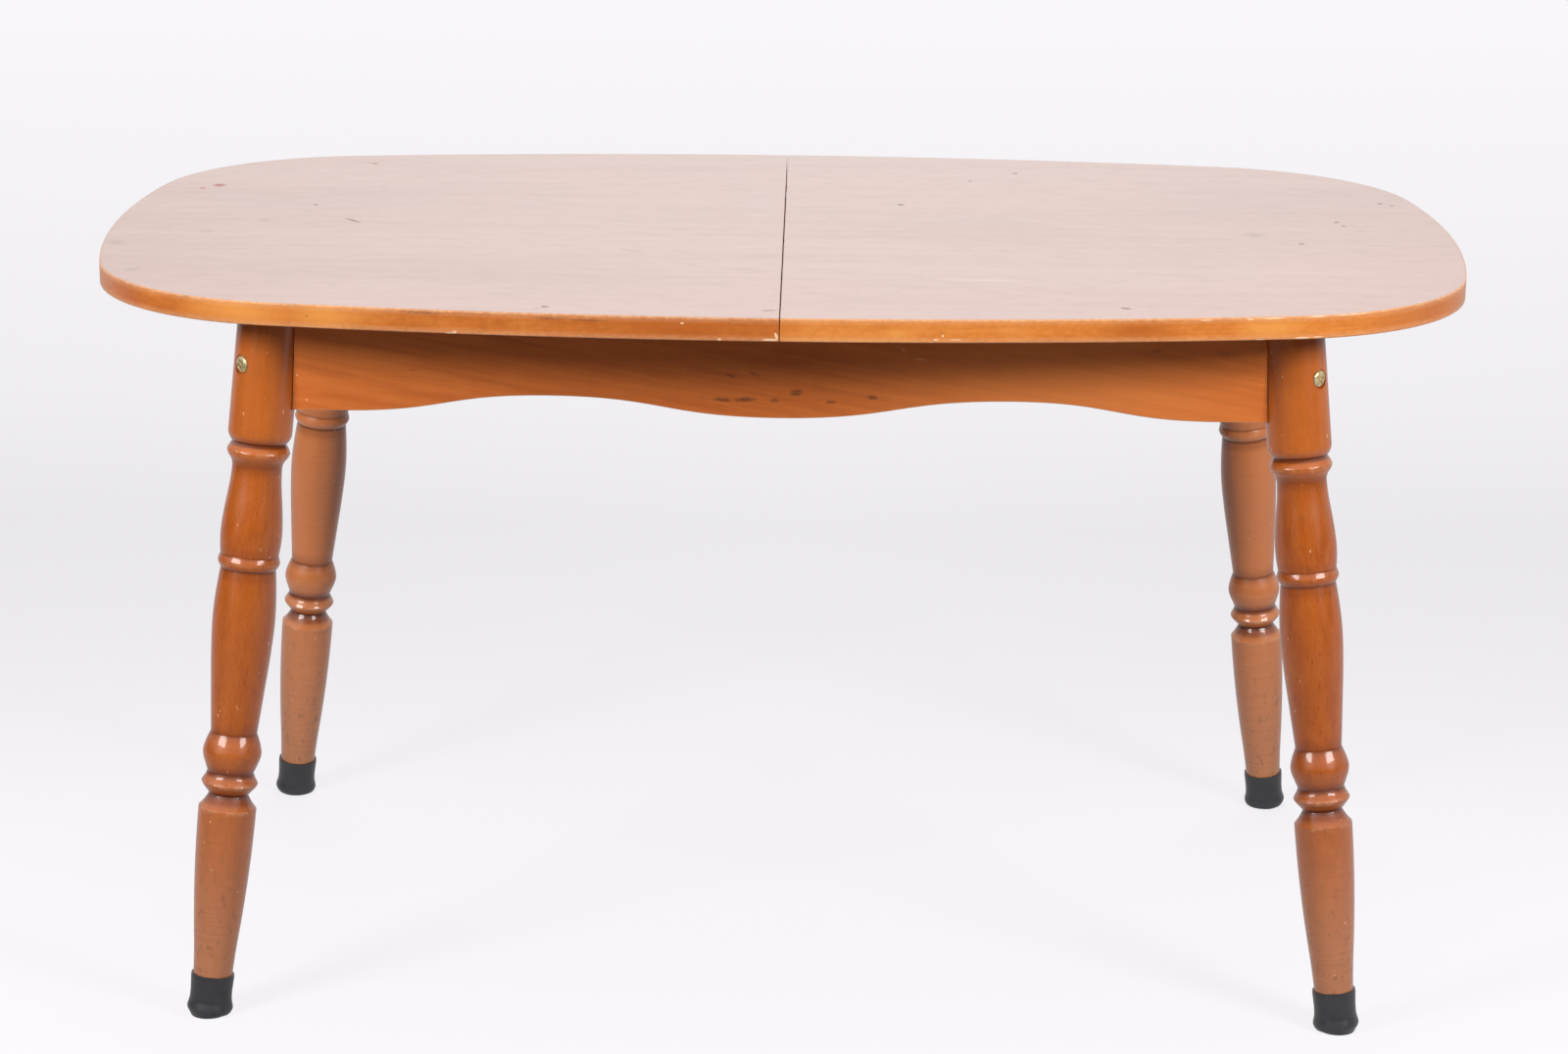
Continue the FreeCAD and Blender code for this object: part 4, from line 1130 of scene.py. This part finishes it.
def make_apron(side, span_top, span_lean, cross_top, cross_lean, quarter_turns, material):
    """Board whose ends are hollowed to fit the leaning legs; its outer face looks along -Y at first."""
    radius = leg_head_radius + apron_end_gap
    outer = cross_top + apron_face_offset

    def end_at(depth):
        def reach(z):
            share = (board_underside - z) / board_underside
            off = outer - depth - cross_top - cross_lean * share
            return span_top + span_lean * share - math.sqrt(radius ** 2 - off ** 2)
        return reach

    upper, lower = rounded_edge(apron_arris, apron_arris_steps, apron_thickness)
    rings = []
    for inset, depth in upper + lower:
        outline = inset_outline(apron_outline(span_top, end_at(depth)), inset)
        rings.append([Vector((point.x, depth, point.y)) for point in outline])
    piece = loft("apron_board_" + side, rings, (material,), apron_sharp_angle)
    # Shares of wear and painted highlight round the outer face's arris
    worn = [apron_rim_wear_and_highlight] + [1.0] * (apron_arris_steps - 1) + [apron_rim_wear_and_highlight]
    arris = worn + [0.0] * (len(rings) - len(worn))
    store_values(piece.data, "arris", [value for value in arris for point in rings[0]])
    piece.matrix_world = (
        Matrix.Rotation(math.pi / 2 * quarter_turns, 4, "Z") @ Matrix.Translation((0, -outer, 0)))
    return stand_in(piece, "frame", "apron_wood", "apron_" + side)


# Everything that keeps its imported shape: finish, and how its nodes' names start

node_finishes = {
    "zinc": ("runner_screws", "stop_screws", "guide_screws", "rail_screws", "corner_screws", "latch_",
             "keeper_", "leg_washers", "leg_nuts"),
    "beech_x": ("runner_", "stop_blocks", "guide_block", "corner_block", "seam_dowels"),
    "beech_y": ("cross_rail", "leaf_dowels"),
    "felt": ("leaf_pads",),
    "leaf_edge": ("leaf_lipping",),
    "leaf_veneer": ("leaf_panel",),
}


def dress_nodes(finishes):
    """Materials for the nodes that no finer piece replaces."""
    for name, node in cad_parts.items():
        for finish, starts in node_finishes.items():
            if name.startswith(starts):
                node.data.materials.clear()
                node.data.materials.append(finishes[finish])
                break


# Room: pale floor, world and soft lamps

floor_radius = 14.0
floor_drop = 0.3 * mm
floor_segments = 64

# Brightness of the sweep at distances along Y, as (metres, display level); the dip between 1 m and 1.5 m is
# partly a painted shadow of the table
floor_levels = [(-0.6, 0.98), (0.0, 0.968), (0.35, 0.95), (1.0, 0.928), (1.5, 0.922), (2.3, 0.955),
                (4.0, 0.99), (6.5, 1.014)]
floor_own_share = 0.9
floor_lit_share = 0.13
floor_dim_share = 0.1
floor_mirror_share = 0.55
bright_side = (0.3, 0.95, 0.0)
mirrored_floor_turn = (-1.2, 0.0)
floor_tint = (1.0, 0.982, 1.01)
bounce_colour = (0.3, 0.29, 0.28)


def display_to_linear(level):
    return ((level + 0.055) / 1.055) ** 2.4


def floor_finish():
    """Paper sweep that keeps soft shadows; it throws less light back than it shows."""
    finish = Finish("floor")
    near, far = floor_levels[0][0], floor_levels[-1][0]
    sweep = finish.add("ValToRGB")
    elements = sweep.color_ramp.elements
    while len(elements) < len(floor_levels):
        elements.new(0.5)
    # Places come before colours, because moved elements may be sorted anew
    for element, (distance, level) in zip(elements, floor_levels):
        element.position = (distance - near) / (far - near)
    for element, (distance, level) in zip(elements, floor_levels):
        element.color = (*tinted(floor_tint, display_to_linear(level)), 1)
    finish.put(sweep.inputs[0], finish.ramp(finish.part(finish.place(), 1), near, far))
    path = finish.add("LightPath").outputs
    mirrored = finish.largest(path["Is Glossy Ray"], path["Is Transmission Ray"])
    side = finish.vector("DOT_PRODUCT", finish.place(), bright_side)
    dimmed = finish.spread(side, *mirrored_floor_turn, floor_dim_share - 1, floor_mirror_share - 1)
    share = finish.math("MULTIPLY_ADD", mirrored, dimmed, 1.0)
    glow = finish.add("Emission", (sweep.outputs[0], finish.times(share, floor_own_share)))
    shadow_part = finish.mix(1.0, sweep.outputs[0], tinted((1, 1, 1), floor_lit_share), "MULTIPLY")
    catcher = finish.add("BsdfDiffuse", (shadow_part,))
    shown = finish.add("AddShader", (glow.outputs[0], catcher.outputs[0]))
    bounce = finish.add("BsdfDiffuse", (bounce_colour,))
    seen = finish.largest(path["Is Camera Ray"], mirrored)
    both = finish.add("MixShader", (seen, bounce.outputs[0], shown.outputs[0]))
    finish.fill(finish.nodes["Material Output"], Surface=both.outputs[0])
    return finish.material


def add_floor():
    mesh = bpy.data.meshes.new("floor")
    ring = [tuple(point) for point in ring_of(floor_segments, floor_radius, -floor_drop)]
    mesh.from_pydata(ring, [], [tuple(range(floor_segments))])
    floor = new_object("floor", mesh)
    mesh.materials.append(floor_finish())


# Soft lamps: name, way round from the front, height angle, distance, width, height, watts
lamps = [
    ("left_softbox", -47, 23, 3.0, 0.8, 0.6, 60),
    ("right_softbox", 47, 23, 3.0, 0.8, 0.6, 60),
    ("top_softbox", 175, 62, 3.0, 2.4, 1.6, 54),
]

# Lamps that give highlights to the legs, caps and bolts alone
highlight_lamps = [
    ("left_highlight", -47, 22, 3.0, 1.5, 0.5, 28),
    ("right_highlight", 47, 22, 3.0, 1.5, 0.5, 28),
]
lamp_target = Vector((0, 0, 0.5))

# World: fill light, brightness to the camera, and what glossy surfaces mirror behind the table
world_fill = 0.13
world_shown = 0.98
glossy_turn = (-0.1, 0.7)
glossy_back = 0.9

# Mirrored brightness of the room in front: dark along the floor, brighter upwards
front_rise = (0.05, 0.5)
front_shine = (0.02, 1.2)

# Soft bright patches that only glossy surfaces mirror: way round from the front, height angle,
# angle from the middle to the rim, brightness
glossy_patches = [(-47, 12, 18, 0.4), (47, 12, 18, 0.4), (180, 17, 15, 0.24)]


def direction_to(azimuth, elevation):
    """Unit direction by the way round from the front and the height angle, in degrees."""
    round_way = math.radians(azimuth)
    up_way = math.radians(elevation)
    level = math.cos(up_way)
    return Vector((math.sin(round_way) * level, -math.cos(round_way) * level, math.sin(up_way)))


def add_world():
    """White to look at and to mirror behind the table, dimmer behind the camera and as fill light."""
    world = bpy.data.worlds.new("studio")
    world.use_nodes = True
    bpy.context.scene.world = world
    sky = Nodes(world.node_tree)
    sky.nodes.clear()
    direction = sky.add("TexCoord").outputs["Generated"]
    front = sky.spread(sky.part(direction, 2), *front_rise, *front_shine)
    side = sky.vector("DOT_PRODUCT", direction, bright_side)
    shine = sky.spread(side, *glossy_turn, front, glossy_back)
    for azimuth, elevation, angle, brightness in glossy_patches:
        near = sky.vector("DOT_PRODUCT", direction, direction_to(azimuth, elevation))
        rim = math.cos(math.radians(angle))
        shine = sky.math("ADD", shine, sky.spread(near, rim, 1.0, 0.0, brightness))
    path = sky.add("LightPath").outputs
    mirrored = sky.largest(path["Is Glossy Ray"], path["Is Transmission Ray"])
    strength = sky.add("Mix", (mirrored, None, world_fill, shine)).outputs[0]
    shown = sky.add("Mix", (path["Is Camera Ray"], None, strength, world_shown)).outputs[0]
    background = sky.add("Background", (None, shown))
    sky.add("OutputWorld", (background.outputs[0],))


def add_lamp(name, azimuth, elevation, distance, width, height, watts):
    data = bpy.data.lights.new(name, "AREA")
    data.shape = "RECTANGLE"
    data.size = width
    data.size_y = height
    data.energy = watts
    lamp = new_object(name, data)
    away = direction_to(azimuth, elevation)
    lamp.location = lamp_target + away * distance
    lamp.rotation_mode = "QUATERNION"
    lamp.rotation_quaternion = away.to_track_quat("Z", "Y")
    lamp.visible_camera = False
    return lamp


def add_lamps(shiny_pieces):
    for settings in lamps:
        add_lamp(*settings).visible_glossy = False
    shiny = bpy.data.collections.new("shiny_pieces")
    for piece in shiny_pieces:
        shiny.objects.link(piece)
    for settings in highlight_lamps:
        lamp = add_lamp(*settings)
        lamp.visible_diffuse = False
        lamp.light_linking.receiver_collection = shiny


# Build everything

add_camera()

veneer = veneer_finish("top_veneer_marked", "X", True)
core = core_finish()
underside = underside_finish()
bands = {"left": edge_finish("edge_wood_left", edge_tones_left),
         "right": edge_finish("edge_wood_right", edge_tones_right)}
leg_wood = leg_finish()
front_apron_wood = apron_finish("apron_wood_front", True)
apron_wood = apron_finish("apron_wood", False)
rubber = rubber_finish()
brass = metal_finish("dull_brass", brass_tones, 0.24, 0.4, 0.6)

shiny_pieces = []
for side, sx in SIDES:
    make_panel(side, sx, (veneer, core, underside))
    make_lipping(side, sx, (bands[side], veneer))
    for row, sy in ROWS:
        for make, material in ((make_leg, leg_wood), (make_cap, rubber), (make_bolt, brass)):
            shiny_pieces.append(make(row + "_" + side, sx, sy, material))

long_sizes = (leg_top_x, leg_splay_x, leg_top_y, leg_splay_y)
short_sizes = (leg_top_y, leg_splay_y, leg_top_x, leg_splay_x)
make_apron("front", *long_sizes, 0, front_apron_wood)
make_apron("right", *short_sizes, 1, apron_wood)
make_apron("back", *long_sizes, 2, apron_wood)
make_apron("left", *short_sizes, 3, apron_wood)

dress_nodes({
    "zinc": metal_finish("zinc_steel", zinc_tones, 0.28, 0.42),
    "beech_x": beech_finish("beech_along_x", "X", beech_tones),
    "beech_y": beech_finish("beech_along_y", "Y", beech_tones),
    "felt": felt_finish(),
    "leaf_edge": beech_finish("leaf_edge_wood", "Y", edge_tones_right),
    "leaf_veneer": veneer_finish("leaf_veneer", "Y", False),
})

add_floor()
add_world()
add_lamps(shiny_pieces)

view = bpy.context.scene.view_settings
view.view_transform = "Standard"
